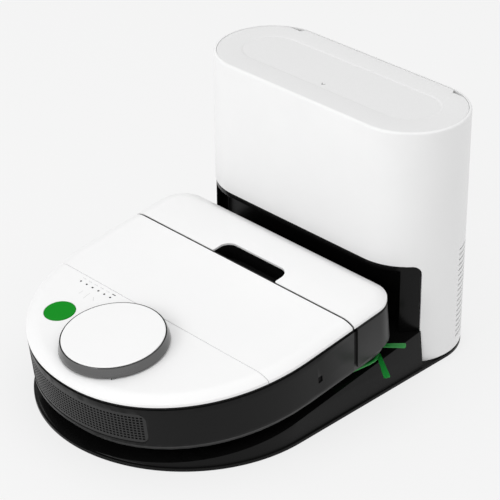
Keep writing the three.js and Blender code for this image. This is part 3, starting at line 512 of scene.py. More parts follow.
def sharp_edges(shape, angle=0.5):
    return [e for e in shape.edges if len(e.link_faces) == 2 and e.calc_face_angle(0) > angle]


def turned(profile, steps=FINE, close=False, at=(0, 0, 0)):
    """A solid of revolution about Z; the profile runs from low to high, outside facing out."""
    shape = bmesh.new()
    verts = [shape.verts.new((r, 0, z)) for r, z in profile]
    edges = [shape.edges.new(pair) for pair in zip(verts, verts[1:])]
    if close:
        edges.append(shape.edges.new((verts[-1], verts[0])))
    bmesh.ops.spin(
        shape, geom=verts + edges, cent=(0, 0, 0), axis=(0, 0, 1), angle=math.tau,
        steps=steps, use_merge=True)
    bmesh.ops.remove_doubles(shape, verts=shape.verts, dist=1e-4)
    faced_out(shape)
    shifted(shape, at)
    return shape


def block(x0, x1, y0, y1, z0, z1, edge, segments=2):
    shape = bmesh.new()
    bmesh.ops.create_cube(shape, size=1)
    bmesh.ops.scale(shape, vec=(x1 - x0, y1 - y0, z1 - z0), verts=shape.verts)
    shifted(shape, ((x0 + x1) / 2, (y0 + y1) / 2, (z0 + z1) / 2))
    softened(shape, shape.edges, edge, segments)
    return shape


def moved(shape, matrix):
    bmesh.ops.transform(shape, matrix=matrix, verts=shape.verts)
    return shape


def joined(*shapes):
    """One shape that holds the others' faces."""
    whole = bmesh.new()
    for shape in shapes:
        mesh = bpy.data.meshes.new("part")
        shape.to_mesh(mesh)
        shape.free()
        whole.from_mesh(mesh)
        bpy.data.meshes.remove(mesh)
    return whole


def piece(name, shape, body, slot, stands_for=(), matrix=DOCK, angle=32, finish=None):
    """Turns a shape into a named piece of the object, in metres and in its place."""
    moved(shape, Matrix.Scale(MM, 4) @ matrix)
    mesh = bpy.data.meshes.new(name)
    shape.to_mesh(mesh)
    shape.free()
    mesh.materials.append(finish or FINISH[slot])
    mesh.shade_smooth()
    mesh.set_sharp_from_angle(angle=math.radians(angle))
    thing = bpy.data.objects.new(name, mesh)
    bpy.context.scene.collection.objects.link(thing)
    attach(thing, body)
    nodes = [stands_for] if isinstance(stands_for, str) else list(stands_for)
    if nodes:
        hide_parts(*nodes)
    return thing


def polished(node):
    """A CAD node with its flat faces joined up, its edges softened and its curves smooth."""
    shape = bmesh.new()
    shape.from_mesh(frame["nodes"][node].data)
    bmesh.ops.scale(shape, vec=(1 / MM,) * 3, verts=shape.verts)
    bmesh.ops.remove_doubles(shape, verts=shape.verts, dist=1e-3)
    bmesh.ops.dissolve_limit(
        shape, angle_limit=math.radians(1), verts=shape.verts, edges=shape.edges)
    softened(shape, sharp_edges(shape, math.radians(40)), 0.4, 2)
    piece(node + "_moulding", shape, BODY_OF[node], SLOT_OF[node], node)


class Track:
    """A plan curve walked by arc length, on which a flat panel is wrapped."""

    def __init__(self, points, closed=True):
        self.points = [Vector(p) for p in points]
        if closed:
            self.points.append(self.points[0].copy())
        self.runs = [(b - a).length for a, b in zip(self.points, self.points[1:])]
        self.starts = [0.0]
        for run in self.runs:
            self.starts.append(self.starts[-1] + run)
        self.length = self.starts[-1]
        self.closed = closed
        self.normals = [self.normal_at(i) for i in range(len(self.points))]

    def normal_at(self, i):
        last = len(self.points) - 1
        before = self.points[i] - self.points[i - 1] if i else self.points[1] - self.points[0]
        after = self.points[i + 1] - self.points[i] if i < last else before
        if self.closed and i in (0, last):
            before = self.points[last] - self.points[last - 1]
            after = self.points[1] - self.points[0]
        along = before.normalized() + after.normalized()
        return Vector((along.y, -along.x)).normalized()

    def place(self, s, inset, z):
        """The point at arc length s, set in from the curve."""
        s = s % self.length if self.closed else min(max(s, 0), self.length)
        low, high = 0, len(self.runs) - 1
        while low < high:
            middle = (low + high + 1) // 2
            if self.starts[middle] <= s:
                low = middle
            else:
                high = middle - 1
        t = (s - self.starts[low]) / self.runs[low]
        point = self.points[low].lerp(self.points[low + 1], t)
        outward = self.normals[low].lerp(self.normals[low + 1], t).normalized()
        return Vector((*(point - outward * inset), z))

    def wrapped(self, shape):
        for vert in shape.verts:
            vert.co = self.place(*vert.co)


def panel(s0, s1, z0, z1):
    """A flat panel that faces -Y; X runs along the track and Z up."""
    shape = bmesh.new()
    face = shape.faces.new([shape.verts.new(p) for p in (
        (s0, 0, z0), (s1, 0, z0), (s1, 0, z1), (s0, 0, z1))])
    face.normal_update()
    return shape


def inside(face, s0, s1, z0, z1):
    middle = face.calc_center_median()
    return s0 < middle.x < s1 and z0 < middle.z < z1


def windowed(shape, s0, s1, z0, z1, corner, steps):
    """Cuts a rectangular window with rounded corners out of a flat panel."""
    cut(shape, X, s0, s1)
    cut(shape, Z, z0, z1)
    spots = [(s, z) for s in (s0, s1) for z in (z0, z1)]
    corners = [v for v in shape.verts if not v.is_boundary
               and any(abs(v.co.x - s) < 0.01 and abs(v.co.z - z) < 0.01 for s, z in spots)]
    rounded_corners(shape, corners, corner, steps)
    dropped(shape, [f for f in shape.faces if inside(f, s0 + corner / 2, s1 - corner / 2, z0, z1)])


def opened(shape, half, top, corner):
    """Cuts an opening up from a panel's foot, with round upper corners."""
    cut(shape, X, -half, corner - half, half - corner, half)
    cut(shape, Z, top - corner, top)
    dropped(shape, [f for f in shape.faces if inside(f, -half, half, -1e3, top)])
    for side in (-1, 1):
        bend = arc(side * (half - corner), top - corner, corner, 90, 90 - 90 * side, 12)
        ends = [min(shape.verts, key=lambda v: (v.co - Vector((x, 0, z))).length)
                for x, z in (bend[0], bend[-1], (side * half, top))]
        verts = [ends[0]] + [shape.verts.new((x, 0, z)) for x, z in bend[1:-1]] + ends[1:]
        face = shape.faces.new(verts if side < 0 else verts[::-1])
        face.normal_update()
        if face.normal.y > 0:
            face.normal_flip()


def thickened(shape, wall):
    """Gives a flat panel its wall, away from its face."""
    drawn_up(shape, shape.faces[:], (0, wall, 0))
    faced_out(shape)


def steps_between(start, end, step):
    count = max(1, round((end - start) / step))
    return [start + (end - start) * i / count for i in range(1, count)]


# ---- Camera, light and floor ----


def camera():
    place = Vector((1356.5, -1282.1, 1224.1)) * MM
    azimuth, elevation, roll = math.radians(45.96), math.radians(30.21), math.radians(-0.5)
    ahead = Vector((
        -math.sin(azimuth) * math.cos(elevation),
        math.cos(azimuth) * math.cos(elevation),
        -math.sin(elevation)))
    right = Vector((math.cos(azimuth), math.sin(azimuth), 0))
    up = right.cross(ahead)
    tilted_right = right * math.cos(roll) + up * math.sin(roll)
    tilted_up = up * math.cos(roll) - right * math.sin(roll)
    lens = bpy.data.cameras.new("camera")
    lens.lens = 144.24
    lens.sensor_width = 36
    lens.clip_end = 100
    view = bpy.data.objects.new("camera", lens)
    turn = Matrix((tilted_right, tilted_up, -ahead)).transposed().to_4x4()
    view.matrix_world = Matrix.Translation(place) @ turn
    bpy.context.scene.collection.objects.link(view)
    bpy.context.scene.camera = view


def lamp(name, place, aim, size, power):
    light = bpy.data.lights.new(name, "AREA")
    light.shape = "RECTANGLE"
    light.size, light.size_y = size
    light.energy = power
    thing = bpy.data.objects.new(name, light)
    thing.location = place
    thing.rotation_euler = (Vector(aim) - Vector(place)).to_track_quat("-Z", "Y").to_euler()
    bpy.context.scene.collection.objects.link(thing)


def studio():
    world = bpy.data.worlds.new("studio")
    world.use_nodes = True
    world.node_tree.nodes["Background"].inputs["Color"].default_value = (1, 1, 1, 1)
    world.node_tree.nodes["Background"].inputs["Strength"].default_value = 0.62
    bpy.context.scene.world = world
    bpy.context.scene.view_settings.view_transform = "Standard"
    lamp("overhead", (0, 0, 2.4), (0, 0, 0), (2.6, 2.6), 22)
    lamp("front", (-0.3, -2.4, 1.3), (0, 0, 0.1), (1.8, 1.2), 22)
    shape = bmesh.new()
    bmesh.ops.create_grid(shape, x_segments=1, y_segments=1, size=30)
    mesh = bpy.data.meshes.new("floor")
    shape.to_mesh(mesh)
    shape.free()
    paint = Paint("studio_floor")
    paint.set(Base_Color=(0.15, 0.15, 0.15, 1), Roughness=0.9, Specular_IOR_Level=0.1)
    paint.set(Emission_Color=(1, 1, 1, 1), Emission_Strength=0.76)
    mesh.materials.append(paint.material)
    floor = bpy.data.objects.new("floor", mesh)
    bpy.context.scene.collection.objects.link(floor)


# ---- Dock ----

OPENING_TOP = 128.5
OPENING_SETBACK = 34.8
OPENING_CORNER = 11
VENT_COUNT = 18
VENT_PITCH = 6.5
VENT_HEIGHT = 2.6
VENT_LOW = 20
VENT_ANGLE = 38
VENT_LENGTH = 54
INLET_X = -60
INLET_Z = 22
SHELF_DROP = 7.4  # of the pale shelf behind the lid, below the hinge's axis
SHELF_REACH = 7
SHELF_LENGTH = 30


def tower_track():
    """The tower's plan, from the middle of its front, anticlockwise from above."""
    return Track([(0, -TOWER_R)] + stadium(0, FINE))


def end_arc(angle):
    """Arc length from the front's middle to an angle round the tower's right end."""
    return TOWER_STRAIGHT + TOWER_R * math.radians(angle + 90)


def on_face(edge):
    return all(abs(v.co.y) < 0.01 for v in edge.verts)


def tower_shell():
    track = tower_track()
    half = track.length / 2
    shape = panel(-half, half, SHELL_FOOT, TOWER_TOP)
    edge = end_arc(-math.degrees(math.asin(OPENING_SETBACK / TOWER_R)))
    opened(shape, edge, OPENING_TOP, OPENING_CORNER)
    middle = end_arc(VENT_ANGLE)
    for row in range(VENT_COUNT):
        z = VENT_LOW + row * VENT_PITCH
        for s in (middle, -middle):
            windowed(shape, s - VENT_LENGTH / 2, s + VENT_LENGTH / 2,
                     z - VENT_HEIGHT / 2, z + VENT_HEIGHT / 2, 1.2, 3)
    back = half - (TOWER_STRAIGHT + INLET_X)
    windowed(shape, back - 10.3, back + 10.3, INLET_Z - 7.3, INLET_Z + 7.3, 2, 4)
    thickened(shape, SHELL_WALL)

    def rim(edge):
        return all(abs(v.co.z - TOWER_TOP) < 0.01 for v in edge.verts)

    def end(item):
        return all(abs(abs(v.co.x) - half) < 0.01 for v in item.verts)

    outer = [e for e in sharp_edges(shape) if on_face(e) and not rim(e) and not end(e)]
    softened(shape, outer, 0.35, 2)
    softened(shape, [e for e in sharp_edges(shape) if on_face(e) and rim(e)], SHELL_CHAMFER, 5)
    curved = steps_between(end_arc(-90), end_arc(90), 3)
    cut(shape, X, *curved + [-s for s in curved] + [end_arc(-90), -end_arc(-90)])
    dropped(shape, [f for f in shape.faces if end(f)])
    track.wrapped(shape)
    bmesh.ops.remove_doubles(shape, verts=shape.verts, dist=0.01)
    ledge_top = TOWER_TOP - LID_THICKNESS - 2 * GAP
    ledge = ring_plate(SHELL_WALL - 0.5, SHELL_WALL + 3, ledge_top - 2.4, ledge_top)
    cut(ledge, Y, LID_AXIS_Y - RELIEF_START, clear_outer=True)
    capped(ledge)
    low = LID_AXIS_Z - SHELF_DROP
    shelf = ring_plate(SHELL_WALL - 0.5, SHELL_WALL + SHELF_REACH, low, low + 2)
    cut(shelf, Y, LID_AXIS_Y - SHELF_LENGTH, clear_inner=True)
    capped(shelf)
    piece("tower_wall", joined(shape, ledge, shelf), "dock", "shell_white", "tower_shell", TOWER)


def vent_shade_panels():
    """Dark panels just behind the vents at both ends of the tower: painted shade inside the vents.
    """
    half = VENT_LENGTH / 2 + 7
    low, high = VENT_LOW - 6, VENT_LOW + (VENT_COUNT - 1) * VENT_PITCH + 3
    for side, hand in SIDES:
        track = tower_track()
        middle = side * end_arc(VENT_ANGLE)
        # painted shade: a dark sheet behind the slots stands in for the shade inside the tower
        shape = panel(middle - half, middle + half, low, high)
        thickened(shape, 0.8)
        shifted(shape, (0, SHELL_WALL + 0.05, 0))
        cut(shape, X, *steps_between(middle - half, middle + half, 3))
        track.wrapped(shape)
        faced_out(shape)
        piece("vent_shade_panel_" + hand, shape, "dock", "grille_black", (), TOWER)


def ring_plate(outer, inner, z0, z1):
    """A flat ring between two insets of the tower's plan."""
    shape = bmesh.new()
    loops = [[shape.verts.new((x, y, z0)) for x, y in stadium(inset)] for inset in (outer, inner)]
    for loop in loops:
        for pair in zip(loop, loop[1:] + loop[:1]):
            shape.edges.new(pair)
    bmesh.ops.bridge_loops(shape, edges=shape.edges[:])
    drawn_up(shape, shape.faces[:], (0, 0, z1 - z0))
    faced_out(shape)
    softened(shape, sharp_edges(shape), 0.3, 2)
    return shape


LID_THICKNESS = 3.4
LID_AXIS_Y = TOWER_R - 7.6
LID_AXIS_Z = TOWER_TOP - GAP - 2
DISH_INSET = 31
RELIEF_START = 14  # ahead of the hinge's axis
WIDE_WALL = 3.4  # from here the wall stands far enough behind the axis for the lid's edge


def lid_relief(shape):
    """Draws the lid's rear corners in, so that they clear the shell as the lid swings."""
    reach = TOWER_TOP + 0.25 - LID_AXIS_Z
    for vert in shape.verts:
        x, y, z = vert.co
        bend = abs(x) - TOWER_STRAIGHT
        if bend <= 0 or y < LID_AXIS_Y - RELIEF_START:
            continue
        wall = math.sqrt(max(0, (TOWER_R - SHELL_WALL - 0.2) ** 2 - bend ** 2)) - LID_AXIS_Y
        ahead, up = LID_AXIS_Y - y, z - LID_AXIS_Z
        clear = reach + 0.1 * max(up, 0)  # once the lid stands open
        if wall < WIDE_WALL:
            needed = max(clear, math.sqrt(max(0.0, wall ** 2 + reach ** 2 - up ** 2)))
        elif up > wall - 0.5:
            needed = clear
        elif up > 0:
            needed = -math.sqrt(wall ** 2 - up ** 2)
        else:
            needed = -wall
        vert.co.y = LID_AXIS_Y - max(ahead, needed)


def bag_lid():
    inset = SHELL_WALL + GAP
    top_z = TOWER_TOP - GAP
    shape, top = drawn_from(stadium(inset), top_z - LID_THICKNESS, LID_THICKNESS - 0.5)
    eased(shape, top, 0.5)
    dish = [(0.6, -0.1), (0.9, -0.4), (0.6, -0.1), (1.5, 0)]
    stepped(shape, top, [(DISH_INSET - inset - 1.3, 0)] + dish)
    cut(shape, Y, LID_AXIS_Y + 3.7, clear_outer=True)
    capped(shape)
    lid_relief(shape)
    axis_x = TOWER_STRAIGHT + math.sqrt((TOWER_R - inset) ** 2 - LID_AXIS_Y ** 2)
    parts = [shape]
    for side in (-1, 1):
        ends = sorted((side * (axis_x - 8), side * (axis_x - 22)))
        low, high = top_z - LID_THICKNESS - 1.6, top_z - LID_THICKNESS + 0.5
        parts.append(block(*ends, LID_AXIS_Y - 4, LID_AXIS_Y + 1.8, low, high, 0.4))
    piece("bag_lid_panel", joined(*parts), "lid", "lid_white", "bag_lid", TOWER)


def bay_liner():
    """The black bay that the robot's nose backs into."""
    radius = TOWER_R - 0.8
    niche, depth, corner, roof = 143, -40, 9, 122
    surface = ROBOT @ Vector((0, 0, GROUND + GAP))
    start = math.degrees(math.asin((-OPENING_SETBACK - GAP) / radius))
    stop = -math.degrees(math.acos((niche - TOWER_STRAIGHT) / radius))
    jamb = arc(TOWER_STRAIGHT, 0, radius, start, stop, 24)
    inner = arc(niche - corner, depth - corner, corner, 0, 90, 10)
    right = [Vector((*p, 0)) for p in jamb + inner]
    outline = [(v.x, v.y) for v in right] + [(-v.x, v.y) for v in reversed(right)]
    front = arc(TOWER_STRAIGHT, 0, radius, stop, -90, 24)
    mouth = front + [(-x, y) for x, y in reversed(front)]
    shape = bmesh.new()
    verts = [shape.verts.new((x, y, roof)) for x, y in outline]
    shape.faces.new(verts)
    count = len(jamb)
    right_inner = verts[count - 1:len(right)]
    left_inner = verts[len(right):len(verts) - count + 1]
    mouth_verts = [shape.verts.new((x, y, roof)) for x, y in mouth[1:-1]]
    shape.faces.new(right_inner + left_inner + mouth_verts[::-1])
    faced_out(shape)
    both = shape.faces[:]
    lower = both[0]
    lifted = bmesh.ops.extrude_face_region(shape, geom=both, use_keep_orig=True)
    shifted(shape, (0, 0, OPENING_TOP - GAP - roof), verts_of(lifted))
    legs = bmesh.ops.extrude_discrete_faces(shape, faces=[lower])
    shifted(shape, (0, 0, -roof), legs["faces"][0].verts)
    faced_out(shape)
    sliced(shape, surface - Y * TOWER_Y, ROLL.to_3x3() @ Z, clear_inner=True)
    capped(shape)
    faced_out(shape)
    softened(shape, sharp_edges(shape, math.radians(40)), 0.8, 3)
    piece("docking_bay", shape, "dock", "dock_black", "bay_liner", TOWER)


TRAY_RIM = 3.4
BANK_RUN = 7
FLANGE_RUN = 2
BRUSH_Y = 100
PORT = (-33.5, 84, 30)  # its middle along X, its width and its depth
TRACK_X = 118  # of the grip bars under each drive wheel
CONTACT_X = 40
CONTACT_Y = 66
RAMP_END = TOWER_Y - OPENING_SETBACK - GAP


def pocket(shape, x, y, half_width, half_depth, sink):
    """Sinks a rectangle of the ramp's level surface."""

    def flat():
        return [f for f in shape.faces if f.normal.z > 0.999 and f.calc_area() > 4]

    for axis, middle, half in ((X, x, half_width), (Y, y, half_depth)):
        for side in (-1, 1):
            cut(shape, axis, middle + side * half, faces=flat())
    sunk = []
    for face in flat():
        middle = face.calc_center_median()
        if abs(middle.x - x) < half_width and abs(middle.y - y) < half_depth:
            sunk.append(face)
    if sunk:
        drawn_up(shape, sunk, (0, 0, -sink))
        dropped(shape, sunk)


def deck_cut(shape, level):
    """Behind the bay's front the ramp gives way to a low deck inside the tower."""

    def beyond():
        return [f for f in shape.faces if f.calc_center_median().y > RAMP_END]

    cut(shape, Y, RAMP_END)
    cut(shape, Z, level, faces=beyond())
    dropped(shape, [f for f in beyond() if f.calc_center_median().z > level + 0.01])
    corners = [v for v in shape.verts if v.is_boundary
               and abs(v.co.y - RAMP_END) < 0.01 and abs(v.co.z - level) < 0.01]
    corners.sort(key=lambda v: v.co.x)
    rim = [e for e in shape.edges if e.is_boundary]
    wall = [e for e in rim if all(abs(v.co.y - RAMP_END) < 0.01 for v in e.verts)]
    deck = [e for e in rim if e not in wall]
    step = shape.edges.new((corners[0], corners[-1]))
    for loop in (wall, deck):
        bmesh.ops.edgeloop_fill(shape, edges=loop + [step])
    faced_out(shape)


def ramp_tray():
    """The ramp in the robot's own frame, so that its surface is level while it is cut."""
    shape, top = drawn_from(tray_plan(), tray_low.z, TRAY_RIM - 0.6)
    eased(shape, top, 0.6)
    bank = [((BANK_RUN - 1.6) / 8, 5.8)] * 8
    stepped(shape, top, [(FLANGE_RUN - 1.4, 0), (0.8, 0.3), (0.5, 0.7), (0.3, 1.2)] + bank)
    moved(shape, ROBOT.inverted())
    cut(shape, Z, GROUND, clear_outer=True)
    capped(shape)
    cap = [f for f in shape.faces if f.normal.z > 0.999 and f.calc_area() > 1e3]
    softened(shape, {e for f in cap for e in f.edges}, 1.2, 4)
    moved(shape, ROBOT)
    deck_cut(shape, SHELL_FOOT - GAP)
    moved(shape, ROBOT.inverted())
    for side in (-1, 1):
        for row in range(6):
            pocket(shape, side * TRACK_X, 16 * row - 166, 13, 4, 0.8)
        pocket(shape, side * CONTACT_X, CONTACT_Y, 4.3, 4.3, 2.5)
    x, width, depth = PORT
    pocket(shape, x, BRUSH_Y, width / 2, depth / 2, 12)
    piece("ramp", shape, "dock", "dock_black", "ramp_tray", ROBOT)


def foot_pad(node):
    """A rubber foot: a ring of grip round a shallow cup."""
    low, high = span(node)
    radius = (high.x - low.x) / 2
    profile = [(0, 0.5), (radius - 7, 0.5), (radius - 6, 0), (radius - 4.5, 0),
               (radius - 4, 0.4), (radius - 3.5, 0.4), (radius - 3, 0), (radius - 0.6, 0),
               (radius, 0.4), (radius, high.z), (0, high.z)]
    middle = (low + high) / 2
    shape = turned(profile, MEDIUM, at=(middle.x, middle.y, 0))
    piece(node + "_pad", shape, "dock", "rubber_black", node)


tower_shell()
vent_shade_panels()
bag_lid()
bay_liner()
ramp_tray()
for node in frame["nodes"]:
    if node.startswith("foot_"):
        foot_pad(node)
for node in ("bag_shelf", "suction_duct", "dock_fan_housing", "dock_motor", "dock_impeller",
             "power_inlet", "port_seal", "dock_contact_left", "dock_contact_right",
             "exhaust_filter", "bag_collar", "bottom_plate"):
    polished(node)


# ---- Dust bag ----

BAG_INSET = 8  # the blank is this much smaller than the bag's space
BAG_MARGIN = 4.4  # room for the welded seam round the filled bag
BAG_SWELL = 12  # furthest that filling moves a point
BAG_SAG = 7
SEAM_REACH = 3.8
OUTLET_Z = 200


def applied(shape, kind, **values):
    """A shape in metres with one modifier applied; cloth is run for twenty frames."""
    scene = bpy.context.scene
    mesh = bpy.data.meshes.new("blank")
    shape.to_mesh(mesh)
    shape.free()
    blank = bpy.data.objects.new("blank", mesh)
    scene.collection.objects.link(blank)
    modifier = blank.modifiers.new(kind, kind)
    cloth = kind == "CLOTH"
    for name, value in values.items():
        setattr(modifier.settings if cloth else modifier, name, value)
    if cloth:
        modifier.settings.effector_weights.gravity = 0
        for moment in range(1, 21):
            scene.frame_set(moment)
    result = bmesh.new()
    result.from_object(blank, bpy.context.evaluated_depsgraph_get())
    bpy.data.objects.remove(blank)
    bpy.data.meshes.remove(mesh)
    scene.frame_set(1)
    return result


def filled_bag():
    """The bag's paper, blown up as cloth, then settled on its underside and sunk on top."""
    low, high = span("dust_bag")
    inset = Vector((BAG_INSET,) * 3)
    a, b = low + inset, high - inset
    blank = moved(block(a.x, b.x, a.y, b.y, a.z, b.z, 12, 3), Matrix.Scale(MM, 4))
    shape = applied(blank, "REMESH", mode="VOXEL", voxel_size=4.5 * MM)
    before = [vert.co.copy() for vert in shape.verts]
    shape = applied(shape, "CLOTH", quality=6, mass=0.3, use_pressure=True,
                    uniform_pressure_force=4, tension_stiffness=12, compression_stiffness=12,
                    bending_stiffness=0.8)
    shape.verts.ensure_lookup_table()
    for vert, home in zip(shape.verts, before):
        move = vert.co - home
        if move.length > BAG_SWELL * MM:
            vert.co = home + move.normalized() * BAG_SWELL * MM
    moved(shape, Matrix.Scale(1 / MM, 4))
    middle, half = (low + high) / 2, (high - low) / 2
    for vert in shape.verts:
        x, y, z = ((vert.co[i] - middle[i]) / half[i] for i in range(3))
        crown = max(1 - x * x, 0) * max(1 - y * y, 0) * max(z, 0)
        vert.co.z -= BAG_SAG * crown * (1 + 0.35 * math.sin(vert.co.x / 13 + 1))
        vert.co.z -= 1.6 * noise.noise(vert.co / 21) * max(1 - abs(z), 0)
        for axis, margin in ((0, BAG_MARGIN), (1, 0.4), (2, BAG_MARGIN)):
            vert.co[axis] = min(max(vert.co[axis], low[axis] + margin), high[axis] - margin)
    shape = applied(moved(shape, Matrix.Scale(MM, 4)), "SUBSURF", levels=1, render_levels=1)
    return moved(shape, Matrix.Scale(1 / MM, 4))


def welded_seam(bag):
    """The flat fin where the bag's two sheets are welded, round its middle."""
    y = sum(vert.co.y for vert in bag.verts) / len(bag.verts)
    shape = bag.copy()
    cut(shape, Y, y, clear_outer=True, clear_inner=True)
    loop = [shape.verts[:][0]]
    while True:
        ahead = [e.other_vert(loop[-1]) for e in loop[-1].link_edges]
        ahead = [v for v in ahead if v not in loop[-2:] and (v is not loop[0] or len(loop) > 2)]
        if not ahead or ahead[0] is loop[0]:
            break
        loop.append(ahead[0])
    line = [v.co.copy() for v in loop]
    shape.free()
    centre = sum(line, Vector()) / len(line)
    fin = bmesh.new()
    rows = []
    for i, place in enumerate(line):
        along = line[(i + 2) % len(line)] - line[i - 2]
        outward = Vector((along.z, 0, -along.x)).normalized()
        outward *= 1 if outward.dot(place - centre) > 0 else -1
        rows.append([fin.verts.new(place + outward * step + Vector((0, 0.3 * math.sin(i / 3), 0)))
                     for step in (-1.6, 1.2, SEAM_REACH)])
    for a, b in zip(rows, rows[1:] + rows[:1]):
        for i in range(2):
            fin.faces.new((a[i], a[i + 1], b[i + 1], b[i]))
    faced_out(fin)
    bmesh.ops.solidify(fin, geom=fin.faces[:], thickness=0.7)
    return fin


def dust_bag():
    low = span("dust_bag")[0]
    card_low, card_high = span("bag_collar")
    bag = filled_bag()
    fin = welded_seam(bag)
    near = min((v.co - Vector((low.x, 0, OUTLET_Z))).xz.length for v in bag.verts)
    end = low.x + near + 7
    start = card_high.x + 0.2
    ring = [(12, start), (18, start), (18, start + 0.8), (14.5, start + 1.4), (14.5, end),
            (12, end)]
    neck = turned(ring, MEDIUM, close=True)
    place = Matrix.Translation((0, (card_low.y + card_high.y) / 2, OUTLET_Z))
    moved(neck, place @ Matrix.Rotation(math.pi / 2, 4, "Y"))
    thing = piece("paper_bag", bag, "dock", "bag_paper", "dust_bag", angle=60)
    piece("bag_welded_seam", fin, "dock", "bag_paper", (), angle=60)
    piece("bag_neck", neck, "dock", "collar_card", ())


dust_bag()


# ---- Robot ----


def cover_blank():
    """The whole white top, before it is parted into its three covers."""
    shape = bmesh.new()
    face = face_of(shape, robot_plan(), COVER_FOOT)
    start = math.asin(SHOULDER_RUN / SHOULDER_RADIUS)
    level = COVER_TOP - SHOULDER_RADIUS  # of the shoulder's middle
    side = level + SHOULDER_RADIUS * math.cos(start)
    top = drawn_up(shape, [face], (0, 0, side - COVER_FOOT))[0]
    dropped(shape, [face])
    faced_out(shape)
    if top.normal.z < 0:
        bmesh.ops.reverse_faces(shape, faces=shape.faces)
    turns = [start * (1 - i / 10) for i in range(11)]
    shoulder = [(SHOULDER_RUN - SHOULDER_RADIUS * math.sin(a),
                 level + SHOULDER_RADIUS * math.cos(a)) for a in turns]
    stepped(shape, top, between(shoulder) + [(0.3, 0)])
    return shape


def flat_top(shape):
    return max(shape.faces, key=lambda f: f.calc_area())


def pierced(shape, rounds):
    """Cuts round holes through a cover's flat top; each is x, y and radius."""
    top = flat_top(shape)
    rim = list(top.edges)
    z = top.verts[0].co.z
    bmesh.ops.delete(shape, geom=[top], context="FACES_ONLY")
    for x, y, radius in rounds:
        ring = bmesh.ops.create_circle(
            shape, segments=FINE if radius > 3 else 16, radius=radius,
            matrix=Matrix.Translation((x, y, z)))
        rim += list({e for v in ring["verts"] for e in v.link_edges})
    bmesh.ops.triangle_fill(shape, edges=rim, use_beauty=True, normal=(0, 0, 1))


def notched(shape, seam):
    """Cuts the finger notch into the flat of a cover, open towards the seam."""
    left, right = NOTCH_X - NOTCH_WIDTH / 2, NOTCH_X + NOTCH_WIDTH / 2
    deep = seam + NOTCH_DEPTH
    top = flat_top(shape)
    z = top.verts[0].co.z
    rim = [e for e in top.edges if not all(abs(v.co.y - seam) < 0.01 for v in e.verts)]
    ends = sorted((v for v in top.verts if abs(v.co.y - seam) < 0.01), key=lambda v: v.co.x)
    bmesh.ops.delete(shape, geom=[top], context="FACES_ONLY")
    fillet = NOTCH_FILLET
    line = arc(left - fillet, seam + fillet, fillet, -90, 0, 6)
    line += arc(left + NOTCH_CORNER, deep - NOTCH_CORNER, NOTCH_CORNER, 180, 90, 18)
    line += arc(right - NOTCH_CORNER, deep - NOTCH_CORNER, NOTCH_CORNER, 90, 0, 18)
    line += arc(right + fillet, seam + fillet, fillet, 180, 270, 6)
    verts = [ends[0]] + [shape.verts.new((x, y, z)) for x, y in line] + [ends[-1]]
    rim += [shape.edges.new(pair) for pair in zip(verts, verts[1:])]
    old = [e for e in ends[0].link_edges if e.other_vert(ends[0]) is ends[-1]]
    bmesh.ops.delete(shape, geom=old, context="EDGES")
    bmesh.ops.triangle_fill(shape, edges=rim, use_beauty=True, normal=(0, 0, 1))


def cover(name, low, high, node, body, holes=(), notch=False):
    shape = cover_blank()
    if low is not None:
        cut(shape, Y, low, clear_inner=True)
    if high is not None:
        cut(shape, Y, high, clear_outer=True)
    if holes:
        pierced(shape, holes)
    if notch:
        notched(shape, low)
    bmesh.ops.solidify(shape, geom=shape.faces[:], thickness=COVER_WALL)
    thing = piece(name, shape, body, "cover_white", node, ROBOT)
    soften = thing.modifiers.new("edges", "BEVEL")
    soften.width = 0.35 * MM
    soften.segments = 2
    soften.limit_method = "ANGLE"
    soften.angle_limit = math.radians(50)
    return thing


def covers():
    leds = [(LED_FIRST + i * LED_PITCH, LED_Y, LED_R + 0.15) for i in range(LED_COUNT)]
    cover("middle_cover", REAR_SEAM + REAR_SEAM_WIDTH / 2, LID_SEAM - LID_SEAM_WIDTH / 2,
          "top_cover", "robot")
    cover("tail_cover", None, REAR_SEAM - REAR_SEAM_WIDTH / 2, "rear_cover", "robot",
          [(0, TURRET_Y, TURRET_R - 2.8), (*BUTTON, BUTTON_R + GAP)] + leds)
    half = LID_SEAM_WIDTH / 2 - 0.15
    seam_filler("bin_seam_gasket", LID_SEAM - half, LID_SEAM + half, 0.9, "rubber_black")
    half = REAR_SEAM_WIDTH / 2 - 0.02
    seam_filler("rear_seam_strip", REAR_SEAM - half, REAR_SEAM + half, 0.5, "inner_charcoal")
    cover("bin_cover", LID_SEAM + LID_SEAM_WIDTH / 2, None, "bin_lid", "dust_bin", notch=True)


def seam_filler(name, low, high, depth, slot):
    """A strip that closes a seam between two covers, a little below their face."""
    shape = cover_blank()
    cut(shape, Y, low, clear_inner=True)
    cut(shape, Y, high, clear_outer=True)
    shifted(shape, (0, 0, -depth))
    scale = 1 - depth / HALF_WIDTH
    bmesh.ops.scale(shape, vec=(scale, 1, 1), verts=shape.verts)
    bmesh.ops.solidify(shape, geom=shape.faces[:], thickness=0.8)
    piece(name, shape, "robot", slot, (), ROBOT)


